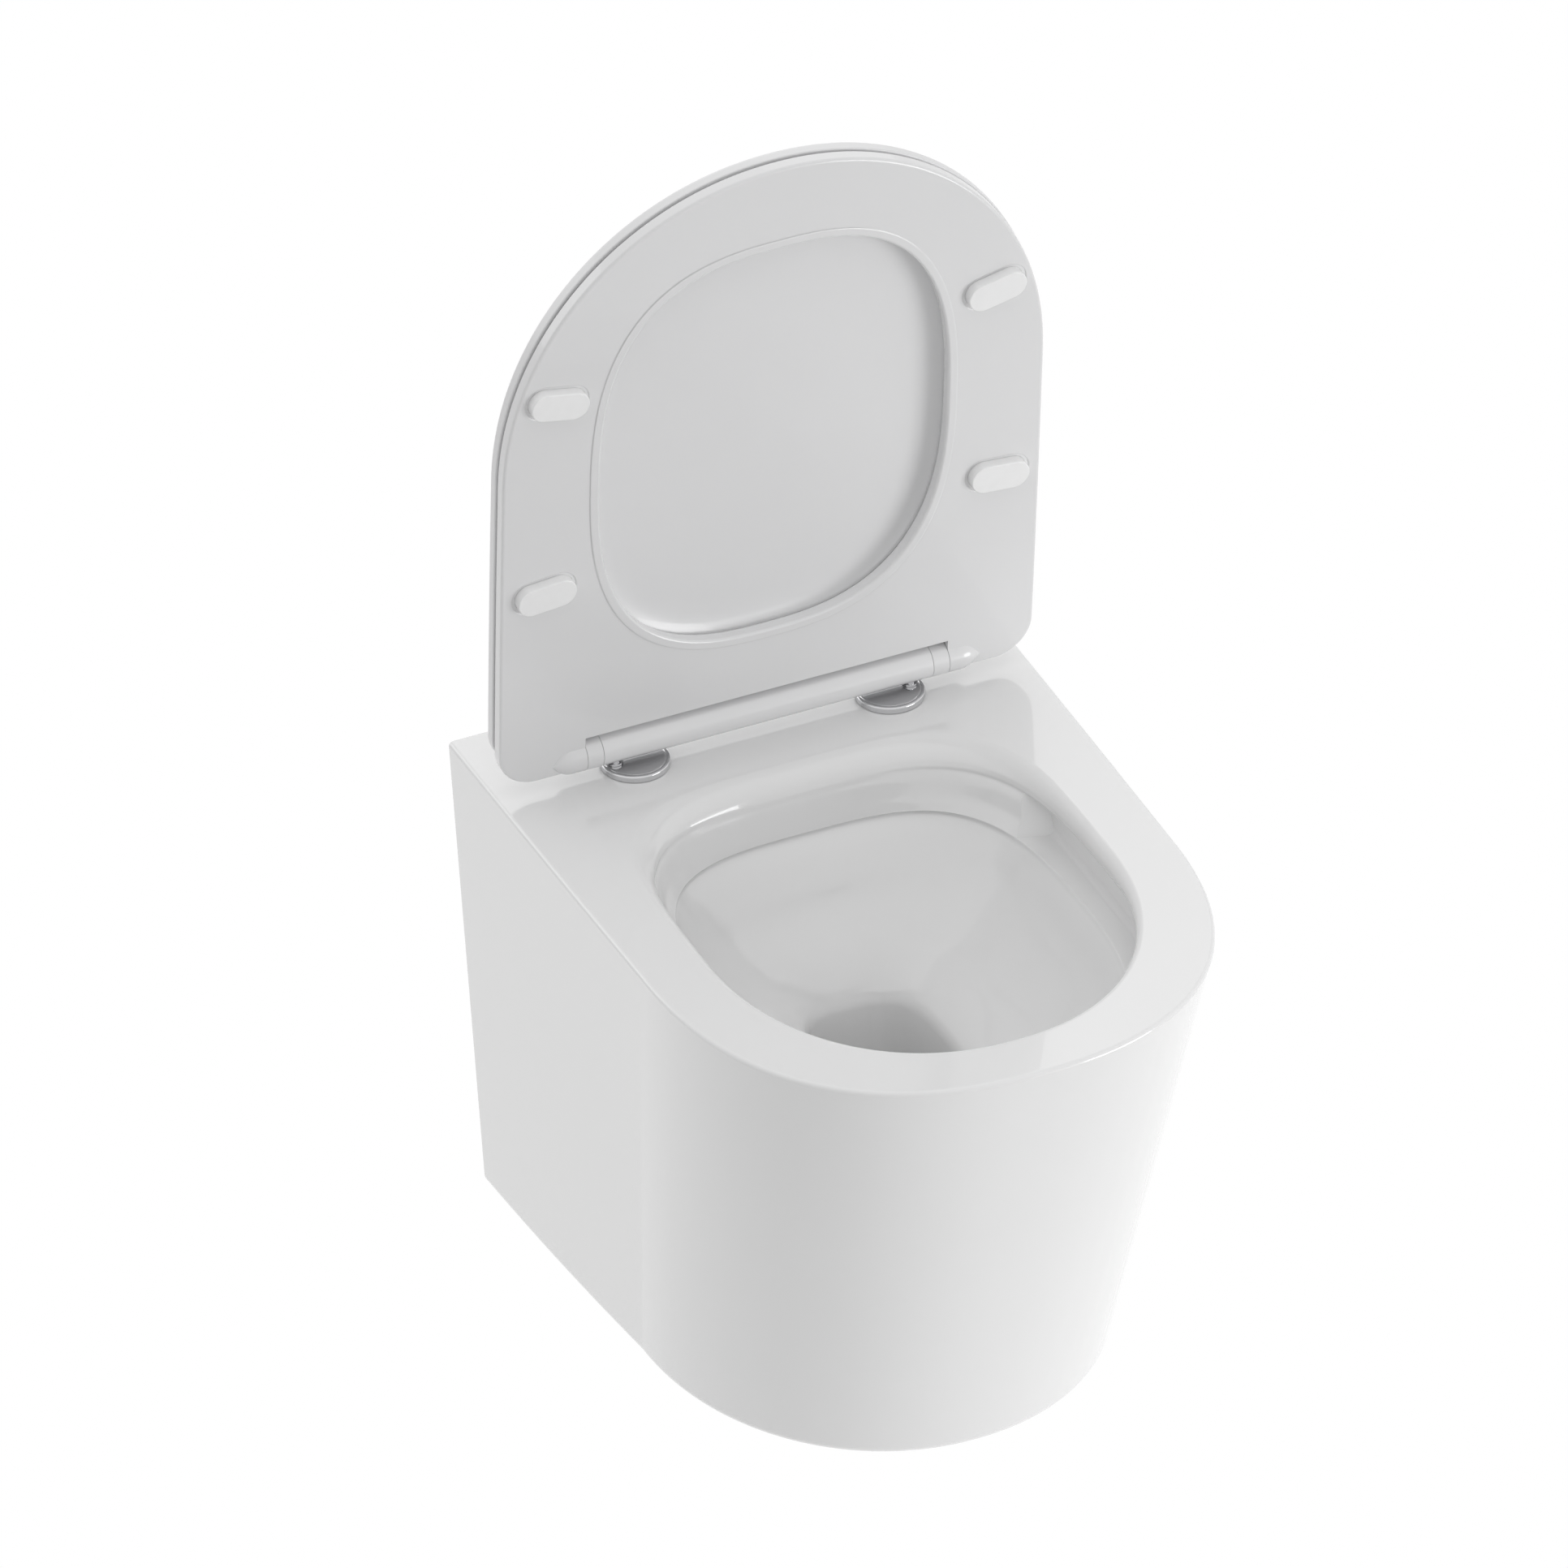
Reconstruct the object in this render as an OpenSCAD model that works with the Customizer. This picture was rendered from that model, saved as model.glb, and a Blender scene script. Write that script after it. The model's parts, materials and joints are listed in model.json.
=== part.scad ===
// Wall hung toilet: a rimless ceramic pan with a soft close seat and lid on one hinge bar.
// Origin: midway between the two wall fixing holes, on the wall plane.
// +Y goes into the wall, +X is to the right seen from the front, +Z is up.
// D in the comments is a distance out from the wall, and depth is measured down from the deck.

/* [Pan] */
// Width of the pan across the deck
pan_w = 360; // [350:1:370]
// Projection of the pan from the wall
pan_l = 474; // [466:1:486]
// Height of the pan from its lower edge to the deck
pan_h = 338; // [336:1:360]
// Width of the pan at its lower rear edge
foot_w = 322; // [306:1:336]
// Projection of the pan at its lower edge
foot_l = 380; // [368:1:400]
// Depth of the rounded front of the pan at the deck
nose_l = 197; // [190:1:204]
// Depth of the rounded front of the pan at its lower edge
foot_nose_l = 173; // [166:1:180]
// Thickness of the skirt wall
skirt_t = 11; // [9:0.5:12]
// Thickness of the deck and the rim
deck_t = 14; // [12:0.5:16]
// Thickness of the wall side face
back_t = 12; // [10:0.5:14]
// Height of the deck above the wall fixing holes
deck_z = 80; // [70:1:90]

/* [Bowl] */
// Width of the bowl opening
bowl_w = 260; // [250:1:266]
// Distance from the wall to the rear edge of the bowl opening
bowl_rear = 118; // [116:1:122]
// Width of the rim at the front of the bowl
rim_front = 31; // [30:1:36]
// Depth of the flush shelf below the deck
shelf_depth = 38.5; // [36:0.5:42]
// How far the flush channel is cut back under the rim
channel_in = 8; // [5:0.5:10]
// Depth of the water seal
seal_depth = 50; // [46:1:51]

/* [Connections] */
// Distance between the two wall fixing holes
fix_spacing = 180; // [180:50:230]
// Radius of the wall fixing holes in the ceramic
fix_hole_r = 9; // [8.5:0.5:11]
// Bore radius of the plastic sleeves that take the wall studs
stud_bore_r = 6.5; // [6.4:0.1:7]
// Radius of the flush inlet at its mouth
inlet_r = 27.5; // [27:0.5:28.5]
// Radius of the flush pipe that the inlet seal takes
flush_pipe_r = 22.5; // [20:0.5:23]
// Depth of the flush inlet centre below the deck
inlet_depth = 45; // [44:1:48]
// Radius of the waste outlet spigot
outlet_r = 51; // [49:0.5:52]
// Depth of the waste outlet centre below the deck
outlet_depth = 180; // [178:1:182]
// Distance between the two seat bolt holes in the deck
seat_spacing = 155; // [150:1:160]

/* [Hinge] */
// Distance from the wall to the hinge axis
hinge_d = 71; // [69:1:75]
// Height of the hinge axis above the deck
hinge_z = 18.3; // [18:0.1:20]
// Radius of the hinge bar
bar_r = 11; // [10.6:0.1:11.2]
// Half of the length of the hinge bar
bar_half = 111; // [110:0.5:112]
// Distance of each hinge post from the centre line
post_x = 99.5; // [98:0.5:101]
// Radius of the hinge posts
post_r = 3.5; // [3:0.1:3.8]
// Radius of the chrome cover discs
disc_r = 22; // [21.5:0.1:22.5]
// Height of the chrome cover discs above the deck
disc_h = 4.6; // [4.4:0.1:4.8]
// Degrees that the raised seat stands short of upright
lean = 4.2; // [0:0.1:5]

/* [Seat and lid] */
// Width of the seat
seat_w = 362; // [358:1:366]
// Length of the seat from the hinge axis to its front edge
seat_l = 417; // [408:1:420]
// Thickness of the seat
seat_t = 9; // [8:0.5:9.5]
// Depth of the underside of the seat below the hinge axis
seat_drop = 6.5; // [6:0.1:7]
// Width of the seat opening
hole_w = 233; // [226:1:236]
// Length of the seat opening
hole_l = 293; // [284:1:298]
// Distance from the hinge axis to the middle of the seat opening
hole_mid = 210.5; // [206:0.5:214]
// Thickness of the lid
lid_t = 8.8; // [8:0.1:9]
// Gap between the seat and the lid
lid_gap = 1.2; // [1:0.1:1.5]
// Height of the seat buffers above the underside of the seat
buffer_h = 5.5; // [5:0.1:6]

/* [Clearances] */
// Radial clearance of the hinge shafts in their bores
run_gap = 0.05; // [0.03:0.01:0.08]
// Clearance between pieces that are fitted together and stay put
fit_gap = 0.1; // [0.05:0.01:0.15]
// Clearance between pieces that rest close to each other and move apart
rest_gap = 0.3; // [0.2:0.05:0.4]

/* [Hidden] */
$fn = 96;
eps = 1;

glaze = "white";
plastic = "whitesmoke";
nylon = "gainsboro";
chrome = "silver";
steel = "lightsteelblue";
rubber = "dimgray";

// Points round each ring of the bowl
bowl_n = 64;
// Points round the front arc of the skirt
arc_n = 44;
// Points round the front arc of the seat and the lid
seat_arc_n = 44;

function side(v) = v < 0 ? -1 : 1;
function spow(v, e) = side(v) * pow(abs(v), e);
function mix(a, b, u) = a + (b - a) * u;

// A closed solid skinned over rings of equal point count that run from the first ring to the last.
module skin(rings, flip = false) {
    n = len(rings[0]);
    last = (len(rings) - 1) * n;
    sides = [
        for (i = [0:len(rings) - 2], j = [0:n - 1])
            let (a = i * n + j, b = i * n + (j + 1) % n)
                each [[a, a + n, b + n], [a, b + n, b]]
    ];
    caps = [[for (j = [0:n - 1]) j], concat([last], [for (j = [n - 1:-1:1]) last + j])];
    faces = concat(sides, caps);
    turned = [for (f = faces) [for (k = [len(f) - 1:-1:0]) f[k]]];
    polyhedron(points = [for (r = rings) each r], faces = flip ? turned : faces);
}

// A solid skinned round a closed loop of rings.
module loop_skin(rings) {
    n = len(rings[0]);
    m = len(rings);
    faces = [
        for (i = [0:m - 1], j = [0:n - 1])
            let (
                row = i * n,
                next_row = ((i + 1) % m) * n,
                next_j = (j + 1) % n
            )
                each [[row + j, next_row + next_j, next_row + j], [row + j, row + next_j, next_row + next_j]]
    ];
    polyhedron(points = [for (r = rings) each r], faces = faces);
}

module xcyl(r, x1, x2) {
    translate([x1, 0, 0])
        rotate([0, 90, 0])
            cylinder(r = r, h = x2 - x1);
}

// A cylinder that runs from D = d1 to D = d2, out from the wall.
module ycyl(r, x, z, d1, d2) {
    translate([x, -d1, z])
        rotate([90, 0, 0])
            cylinder(r = r, h = d2 - d1);
}

// How much each side draws in from the wall to the nose, at the deck and at the lower edge
side_taper = [3, 13];
// How square the nose is at the deck and at the lower edge
nose_power = [2.37, 2.07];

// One ring of the skirt: u is 0 at the deck and 1 at the lower edge.
function skirt_ring(z, u, inset, rear) =
    let (
        w = mix(pan_w, foot_w, u) / 2 - inset,
        w2 = w - mix(side_taper[0], side_taper[1], u),
        l = mix(pan_l, foot_l, u) - inset,
        straight = mix(pan_l - nose_l, foot_l - foot_nose_l, u),
        e = 2 / mix(nose_power[0], nose_power[1], u)
    )
    concat(
        [[0, -rear, z], [-w, -rear, z], [-(w + w2) / 2, -straight / 2, z]],
        [for (j = [0:arc_n]) let (t = 180 + 180 * j / arc_n)
            [w2 * spow(cos(t), e), -straight + (l - straight) * spow(sin(t), e), z]],
        [[(w + w2) / 2, -straight / 2, z], [w, -rear, z]]
    );

top_round = 5;
foot_round = 6;

function skirt_at(z, inset, rear) =
    skirt_ring(z, max(0, (-z - top_round) / (pan_h - top_round)), inset, rear);

module skirt_body() {
    skin([
        skirt_at(-pan_h, foot_round, 0),
        skirt_at(-pan_h + 2, 2, 0),
        skirt_at(-pan_h + 7, 0, 0),
        skirt_at(-pan_h * 0.72, 0, 0),
        skirt_at(-pan_h * 0.45, 0, 0),
        skirt_at(-pan_h * 0.2, 0, 0),
        skirt_at(-top_round, 0, 0),
        skirt_at(-top_round * 0.45, top_round * 0.16, 0),
        skirt_at(-top_round * 0.13, top_round * 0.5, 0),
        skirt_at(0, top_round, 0)
    ]);
}

module skirt_hollow() {
    skin([
        skirt_at(-pan_h - 8, skirt_t, back_t),
        skirt_at(-pan_h * 0.72, skirt_t, back_t),
        skirt_at(-pan_h * 0.4, skirt_t, back_t),
        skirt_at(-deck_t, skirt_t, back_t)
    ]);
}

bowl_front = pan_l - rim_front;
bowl_a = bowl_w / 2;
bowl_mid = 0.51;

// One ring of the bowl or the trap: the rear edge and the front edge are [D, z] points,
// a is the half width, nr and nf set how square its rear and front ends are,
// and k is how far from the rear edge to the front edge the widest point lies.
function bowl_ring(rear, front, a, nr, nf, k = 0.5) = [
    for (j = [0:bowl_n - 1])
        let (
            t = 360 * j / bowl_n,
            back = sin(t) >= 0,
            e = 2 / (back ? nr : nf),
            s = pow(abs(sin(t)), e),
            widest = mix(rear, front, k),
            p = mix(widest, back ? rear : front, s)
        )
        [a * spow(cos(t), e), -p[0], p[1]]
];

// A level ring of the bowl, with each edge moved in from the opening.
function level_ring(z, rear_in, front_in, side_in, nr, nf) =
    bowl_ring([bowl_rear + rear_in, z], [bowl_front - front_in, z], bowl_a - side_in, nr, nf, bowl_mid);

// The waterway turns under the tongue and over the weir.
pipe_in_r = outlet_r - 8;
weir_z = -outlet_depth - pipe_in_r;
tongue_r = 6;
tongue_d = bowl_rear + 81;
tongue_z = weir_z - seal_depth + tongue_r;
crest_r = 15;
crest_d = 123;
crest_z = weir_z - crest_r;
throat = 55;
under_gap = 50;
well_long = 86;

// Distance across the waterway at each turn of t degrees round the tongue.
function under_width(t) = t < 90 ? mix(well_long, under_gap, t / 90) : mix(under_gap, throat, (t - 90) / 90);

function tongue_ring(t) =
    let (w = under_width(t))
    bowl_ring(
        [tongue_d + tongue_r * cos(t), tongue_z - tongue_r * sin(t)],
        [tongue_d + (tongue_r + w) * cos(t), tongue_z - (tongue_r + w) * sin(t)],
        mix(38, 30, min(t, 90) / 90), mix(2.8, 2.2, min(t, 90) / 90), mix(2.6, 2.2, min(t, 90) / 90)
    );

function weir_ring(t) =
    let (
        u = (180 - t) / 90,
        w = mix(throat, 2 * pipe_in_r, u)
    )
    bowl_ring(
        [crest_d - (crest_r + w) * cos(t), crest_z + (crest_r + w) * sin(t)],
        [crest_d - crest_r * cos(t), crest_z + crest_r * sin(t)],
        mix(30, pipe_in_r, u), mix(2.2, 2, u), mix(2.2, 2, u)
    );

function outlet_ring(d) =
    bowl_ring([d, -outlet_depth + pipe_in_r], [d, -outlet_depth - pipe_in_r], pipe_in_r, 2, 2);

// The space inside the bowl, the sump, the trap and the outlet.
module waterway() {
    skin(
        concat(
            [
                level_ring(2, -16, -9.5, -9.5, 3.6, 2.3),
                level_ring(-0.9, -11, -6, -6, 3.7, 2.3),
                level_ring(-3, -7, -3, -3, 3.8, 2.3),
                level_ring(-7, -2, -0.2, -0.2, 4, 2.3),
                level_ring(-10.5, 1.2, -1.4, -2, 3.9, 2.3),
                level_ring(-channel_top - 0.3, 4.4, -3, -4.6, 3.6, 2.3),
                level_ring(-20, 8.5, 0.5, 0.5, 4.1, 2.3),
                level_ring(-shelf_depth + 9, 14, 1.5, 2.5, 4.2, 2.3),
                level_ring(-shelf_depth - 0.6, 22, 6, 10, 4, 2.3),
                level_ring(-shelf_depth - 12, 26, 10, 15, 3.8, 2.3),
                level_ring(-65, 31.5, 17, 22, 3.6, 2.3),
                level_ring(-80, 39.5, 28, 33, 3.4, 2.3),
                level_ring(-100, 55, 46, 53, 3.4, 2.4),
                level_ring(-113, 66.5, 66, 73, 3.5, 2.5),
                level_ring(-123, 73.5, 91, 90, 3.8, 2.6),
                level_ring(-132, 76.5, 97.5, 91, 3.8, 2.6),
                level_ring(-200, 86, 125, 92, 3.4, 2.6),
                level_ring(tongue_z + 26, 87, 142, 92, 3, 2.6)
            ],
            [for (t = [0:22.5:180]) tongue_ring(t)],
            [for (t = [157.5:-22.5:90]) weir_ring(t)],
            [outlet_ring(60), outlet_ring(-6)]
        ),
        flip = true
    );
}

// The flush channel runs under the rim from a slanted face at each rear corner round to the front,
// with the shelf as its floor.
channel_x = 123;
channel_d = 179.5;
channel_top = 14.2;
channel_slope = 31;
channel_turn = 28;

// All that lies in front of the slanted face where the channel starts.
module channel_start(s) {
    reach = 2 * pan_l;
    mirror([s < 0 ? 1 : 0, 0, 0])
        translate([channel_x, -channel_d, -channel_top])
            rotate([0, 90 - channel_slope, -90 - channel_turn])
                translate([-reach, -reach, 0])
                    cube(2 * reach);
}

module flush_channel() {
    front = channel_in / 2;
    intersection() {
        skin([
            level_ring(-shelf_depth, 27, -front + 2, -channel_in + 5, 6, 2.3),
            level_ring(-shelf_depth + 1.5, 25, -front + 0.5, -channel_in + 1.5, 6, 2.3),
            level_ring(-shelf_depth + 5, 22, -front, -channel_in, 6, 2.3),
            level_ring(-channel_top - 3.3, 15, -front, -channel_in, 6, 2.3),
            level_ring(-channel_top - 1, 12, -front + 0.6, -channel_in + 1.2, 6, 2.3),
            level_ring(-channel_top, 10, 4, 3, 5, 2.3)
        ]);
        channel_start(-1);
        channel_start(1);
    }
}

// A level ring of the ceramic round the bowl and the trap.
function shell_ring(z, rear, front, a, nr, nf) =
    bowl_ring([rear, z], [front, z], a, nr, nf);

// The ceramic round the bowl, the sump and the trap, down to the floor of the trap.
module bowl_shell() {
    skin(
        [
            shell_ring(-6, bowl_rear - 14, bowl_front + 23, bowl_a + 20, 4, 2.3),
            shell_ring(-22, bowl_rear - 12, bowl_front + 19, bowl_a + 20, 4, 2.3),
            shell_ring(-40, bowl_rear - 1, bowl_front + 8, bowl_a + 17, 3.8, 2.3),
            shell_ring(-52, bowl_rear + 16, bowl_front + 1, bowl_a - 2, 3.5, 2.3),
            shell_ring(-80, bowl_rear + 31, bowl_front - 16, bowl_a - 20, 3.2, 2.3),
            shell_ring(-102, bowl_rear + 45, bowl_front - 34, bowl_a - 39, 3.2, 2.4),
            shell_ring(-118, bowl_rear + 52, bowl_front - 54, bowl_a - 56, 3.2, 2.5),
            shell_ring(-127, crest_d + 22, bowl_front - 74, bowl_a - 66, 3.2, 2.6),
            shell_ring(-136, crest_d + 4, bowl_front - 86, bowl_a - 73, 3.2, 2.6),
            shell_ring(-150, crest_d - 2, bowl_front - 92, bowl_a - 74, 3.2, 2.6),
            shell_ring(-200, crest_d - 2, bowl_front - 115, bowl_a - 74, 3, 2.6),
            shell_ring(crest_z - 2, crest_d + 1, bowl_front - 130, bowl_a - 78, 3, 2.6),
            shell_ring(tongue_z - 6, crest_d + 4, bowl_front - 143, bowl_a - 81, 2.8, 2.5),
            shell_ring(tongue_z - 30, crest_d + 13, bowl_front - 152, bowl_a - 84, 2.6, 2.4),
            shell_ring(tongue_z - 50, crest_d + 30, bowl_front - 172, bowl_a - 90, 2.5, 2.3),
            shell_ring(-pan_h + 6.5, crest_d + 52, bowl_front - 210, bowl_a - 104, 2.4, 2.3)
        ],
        flip = true
    );
}

// Flush water turns left behind the bowl in a closed chamber, leaves by a port in the slanted face
// and circles the bowl in the channel.
chamber_x = [-116, 30];
chamber_d = [102, 126];
chamber_z = [-60, -31];
chamber_wall = 8;
port_w = 11;
port_h = 12;
port_l = 90;
port_turn = 18.7;
port_x = -108.5;
port_z = -shelf_depth + 9;
port_wall = 5;

module chamber(grow) {
    size = [chamber_x[1] - chamber_x[0], chamber_d[1] - chamber_d[0], chamber_z[1] - chamber_z[0]];
    translate([chamber_x[0] - grow, -chamber_d[1] - grow, chamber_z[0] - grow])
        cube(size + 2 * [grow, grow, grow]);
}

module flush_port(grow) {
    long = port_l - 2 * grow;
    translate([port_x, -(chamber_d[0] + chamber_d[1]) / 2, port_z])
        rotate([0, 0, -port_turn])
            translate([-port_w / 2 - grow, -long, -port_h / 2 - grow])
                cube([port_w + 2 * grow, long, port_h + 2 * grow]);
}

// The opening in the wall side face, round the waste outlet and down towards the lower edge.
window_r = 85;
module back_window() {
    translate([0, eps, 0])
        rotate([90, 0, 0])
            linear_extrude(back_t + 2 * eps)
                hull() {
                    translate([0, -outlet_depth])
                        circle(window_r);
                    for (s = [-1, 1])
                        translate([s * (window_r - 20), -pan_h + 58])
                            circle(20);
                }
}

// The waste connector slides over the spigot as far as its shoulder.
spigot_d = [5, 85];
shoulder = 3;

// The flush inlet narrows a little on its way in.
inlet_draft = 0.3;
module inlet_bore() {
    translate([0, eps, -inlet_depth])
        rotate([90, 0, 0])
            cylinder(r1 = inlet_r, r2 = inlet_r - inlet_draft, h = chamber_d[0] + 2 * eps);
}

boss_r = 24;
boss_d = 26;
fix_z = -deck_z;

module pan() {
    color(glaze)
        translate([0, 0, deck_z])
            difference() {
                union() {
                    difference() {
                        skirt_body();
                        skirt_hollow();
                        back_window();
                    }
                    bowl_shell();
                    ycyl(outlet_r, 0, -outlet_depth, spigot_d[0], spigot_d[1]);
                    ycyl(outlet_r + shoulder, 0, -outlet_depth, spigot_d[1], crest_d + 26);
                    ycyl(inlet_r + 9, 0, -inlet_depth, 0.5, chamber_d[0]);
                    chamber(chamber_wall);
                    flush_port(port_wall);
                    for (s = [-1, 1])
                        ycyl(boss_r, s * fix_spacing / 2, fix_z, 0.5, boss_d);
                }
                waterway();
                flush_channel();
                inlet_bore();
                chamber(0);
                flush_port(0);
                for (s = [-1, 1]) {
                    ycyl(fix_hole_r, s * fix_spacing / 2, fix_z, -eps, boss_d + eps);
                    translate([s * seat_spacing / 2, -hinge_d, -deck_t - eps])
                        cylinder(r = deck_hole_r, h = deck_t + 2 * eps);
                }
            }
}

// A rubber seal in the flush inlet takes the flush pipe: a flange, a sleeve and two ribs.
seal_d = [2, 36];
seal_wall = 3;
rib_r = inlet_r - rest_gap;

module flush_seal() {
    body_r = flush_pipe_r + seal_wall;
    color(rubber)
        translate([0, -seal_d[0], deck_z - inlet_depth])
            rotate([90, 0, 0])
                rotate_extrude()
                    polygon([
                        [flush_pipe_r, 0],
                        [rib_r, 0],
                        [rib_r, 5],
                        [body_r, 7],
                        [body_r, 16],
                        [rib_r, 18],
                        [rib_r, 20],
                        [body_r, 22],
                        [body_r, 29],
                        [rib_r, 31],
                        [rib_r, 33],
                        [body_r, seal_d[1] - seal_d[0]],
                        [flush_pipe_r, seal_d[1] - seal_d[0]]
                    ]);
}

// Wall fixings: a sleeve lines each hole, and a washer and a nut clamp the pan on the wall stud.
sleeve_flange = 3;
washer_t = 2.5;
washer_r = 12.5;
nut_h = 10;
nut_across = 19;
nut_bore_r = 6.05;
// Radius of the round face that the chamfer leaves at each end of a nut
nut_face_r = nut_across / 2 + 0.4;

module at_wall_holes() {
    for (s = [-1, 1])
        translate([s * fix_spacing / 2, 0, 0])
            rotate([90, 0, 0])
                children();
}

module wall_sleeves() {
    color(nylon)
        at_wall_holes()
            difference() {
                union() {
                    cylinder(r = fix_hole_r - fit_gap, h = boss_d + sleeve_flange);
                    translate([0, 0, boss_d + fit_gap])
                        cylinder(r = fix_hole_r + 6, h = sleeve_flange - fit_gap);
                }
                translate([0, 0, -eps])
                    cylinder(r = stud_bore_r, h = boss_d + sleeve_flange + 2 * eps);
            }
}

module wall_washers() {
    color(steel)
        at_wall_holes()
            translate([0, 0, boss_d + sleeve_flange + fit_gap])
                difference() {
                    cylinder(r = washer_r, h = washer_t);
                    translate([0, 0, -eps])
                        cylinder(r = stud_bore_r - 0.1, h = washer_t + 2 * eps);
                }
}

module wall_nuts() {
    color(steel)
        at_wall_holes()
            translate([0, 0, boss_d + sleeve_flange + washer_t + 2 * fit_gap])
                difference() {
                    intersection() {
                        cylinder(r = nut_across / 2 / cos(30), h = nut_h, $fn = 6);
                        cylinder(r1 = nut_face_r, r2 = nut_face_r + nut_h, h = nut_h);
                        translate([0, 0, -nut_h])
                            cylinder(r1 = nut_face_r + 2 * nut_h, r2 = nut_face_r, h = 2 * nut_h);
                    }
                    translate([0, 0, -eps])
                        cylinder(r = nut_bore_r, h = nut_h + 2 * eps);
                }
}

// Hinge pieces that stay on the pan.
module at_hinge() {
    translate([0, -hinge_d, deck_z + hinge_z])
        children();
}

module on_deck(x) {
    translate([x, -hinge_d, deck_z])
        children();
}

plug_r = 9;
plug_l = 22.8;
shaft_r = 3;
post_top = -4.6;
damper_end = 30;

module hinge_bar() {
    color(plastic)
        at_hinge()
            difference() {
                xcyl(bar_r, -bar_half, bar_half);
                for (s = [-1, 1]) {
                    mirror([s < 0 ? 1 : 0, 0, 0])
                        xcyl(plug_r, damper_end - 2, bar_half + eps);
                    translate([s * post_x, 0, -bar_r - eps])
                        cylinder(r = post_r + fit_gap, h = bar_r);
                }
            }
}

module bar_plug(s) {
    color(nylon)
        at_hinge()
            mirror([s < 0 ? 1 : 0, 0, 0])
                difference() {
                    xcyl(plug_r - fit_gap, bar_half - plug_l, bar_half - 0.2);
                    xcyl(shaft_r + run_gap, bar_half - plug_l - eps, bar_half + eps);
                    translate([post_x, 0, -plug_r - eps])
                        cylinder(r = post_r + fit_gap, h = plug_r + eps + post_top + fit_gap);
                }
}

module damper(s) {
    color(rubber)
        at_hinge()
            mirror([s < 0 ? 1 : 0, 0, 0])
                difference() {
                    union() {
                        xcyl(plug_r - fit_gap, damper_end, bar_half - plug_l - 0.2);
                        xcyl(plug_r - 3, damper_end - 1.8, damper_end + eps);
                    }
                    xcyl(shaft_r + run_gap, damper_end + 8, bar_half);
                }
}

module hinge_post(s) {
    color(chrome)
        on_deck(s * post_x) {
            translate([0, 0, plate_top])
                cylinder(r = post_r, h = hinge_z + post_top - plate_top);
            translate([0, 0, disc_h + fit_gap])
                cylinder(r = post_r + 1.6, h = 1.4);
        }
}

// Base of each post: a rubber gasket, a steel plate held by the seat bolt, and a chrome cover disc.
disc_x = 86;
gasket_t = 0.5;
plate_t = 1.2;
plate_top = gasket_t + plate_t;
cover_t = 0.8;
cover_wall = 1.4;
bolt_r = 4;
bolt_head_r = 6.5;
bolt_head_h = 1.9;
socket_across = 5;
socket_h = 1.3;

module cover_disc(s) {
    color(chrome)
        on_deck(0)
            difference() {
                translate([s * disc_x, 0, 0])
                    rotate_extrude()
                        polygon([
                            [disc_r - cover_wall, rest_gap],
                            [disc_r, rest_gap],
                            [disc_r, disc_h - 0.9],
                            [disc_r - 0.25, disc_h - 0.35],
                            [disc_r - 0.9, disc_h],
                            [0, disc_h],
                            [0, disc_h - cover_t],
                            [disc_r - cover_wall, disc_h - cover_t]
                        ]);
                translate([s * post_x, 0, 0])
                    cylinder(r = post_r + fit_gap, h = disc_h + eps);
            }
}

module base_plate(s) {
    color(steel)
        on_deck(0)
            translate([0, 0, gasket_t])
                difference() {
                    translate([s * disc_x, 0, 0])
                        cylinder(r = disc_r - cover_wall - fit_gap, h = plate_t);
                    translate([s * seat_spacing / 2, 0, -eps])
                        cylinder(r = bolt_r + fit_gap, h = plate_t + 2 * eps);
                }
}

module disc_gasket(s) {
    color(rubber)
        on_deck(0)
            difference() {
                translate([s * disc_x, 0, 0])
                    cylinder(r = disc_r - cover_wall - 2 * fit_gap, h = gasket_t);
                translate([s * seat_spacing / 2, 0, -eps])
                    cylinder(r = bolt_r + 0.5, h = gasket_t + 2 * eps);
            }
}

module at_seat_bolts() {
    for (s = [-1, 1])
        on_deck(s * seat_spacing / 2)
            children();
}

deck_hole_r = 8;
bolt_l = 58;
bush_flange_r = 15;
bush_l = 12;
bolt_washer_t = 1.8;
bolt_washer_r = 11;
wing_h = 12;

module seat_bolts() {
    color(steel)
        at_seat_bolts()
            difference() {
                union() {
                    translate([0, 0, plate_top])
                        cylinder(r = bolt_head_r, h = bolt_head_h);
                    translate([0, 0, plate_top - bolt_l])
                        cylinder(r = bolt_r, h = bolt_l);
                }
                translate([0, 0, plate_top + bolt_head_h - socket_h])
                    cylinder(r = socket_across / 2 / cos(30), h = socket_h + eps, $fn = 6);
            }
}

module deck_bushes() {
    color(rubber)
        at_seat_bolts()
            rotate_extrude()
                polygon([
                    [bolt_r + fit_gap, -deck_t - bush_l],
                    [bush_flange_r - 5, -deck_t - bush_l],
                    [bush_flange_r, -deck_t - 4],
                    [bush_flange_r, -deck_t],
                    [deck_hole_r - rest_gap, -deck_t],
                    [deck_hole_r - 0.8, -3],
                    [bolt_r + fit_gap, -3]
                ]);
}

module bolt_washers() {
    color(steel)
        at_seat_bolts()
            translate([0, 0, -deck_t - bush_l - bolt_washer_t])
                difference() {
                    cylinder(r = bolt_washer_r, h = bolt_washer_t);
                    translate([0, 0, -eps])
                        cylinder(r = bolt_r + 0.3, h = bolt_washer_t + 2 * eps);
                }
}

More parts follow.
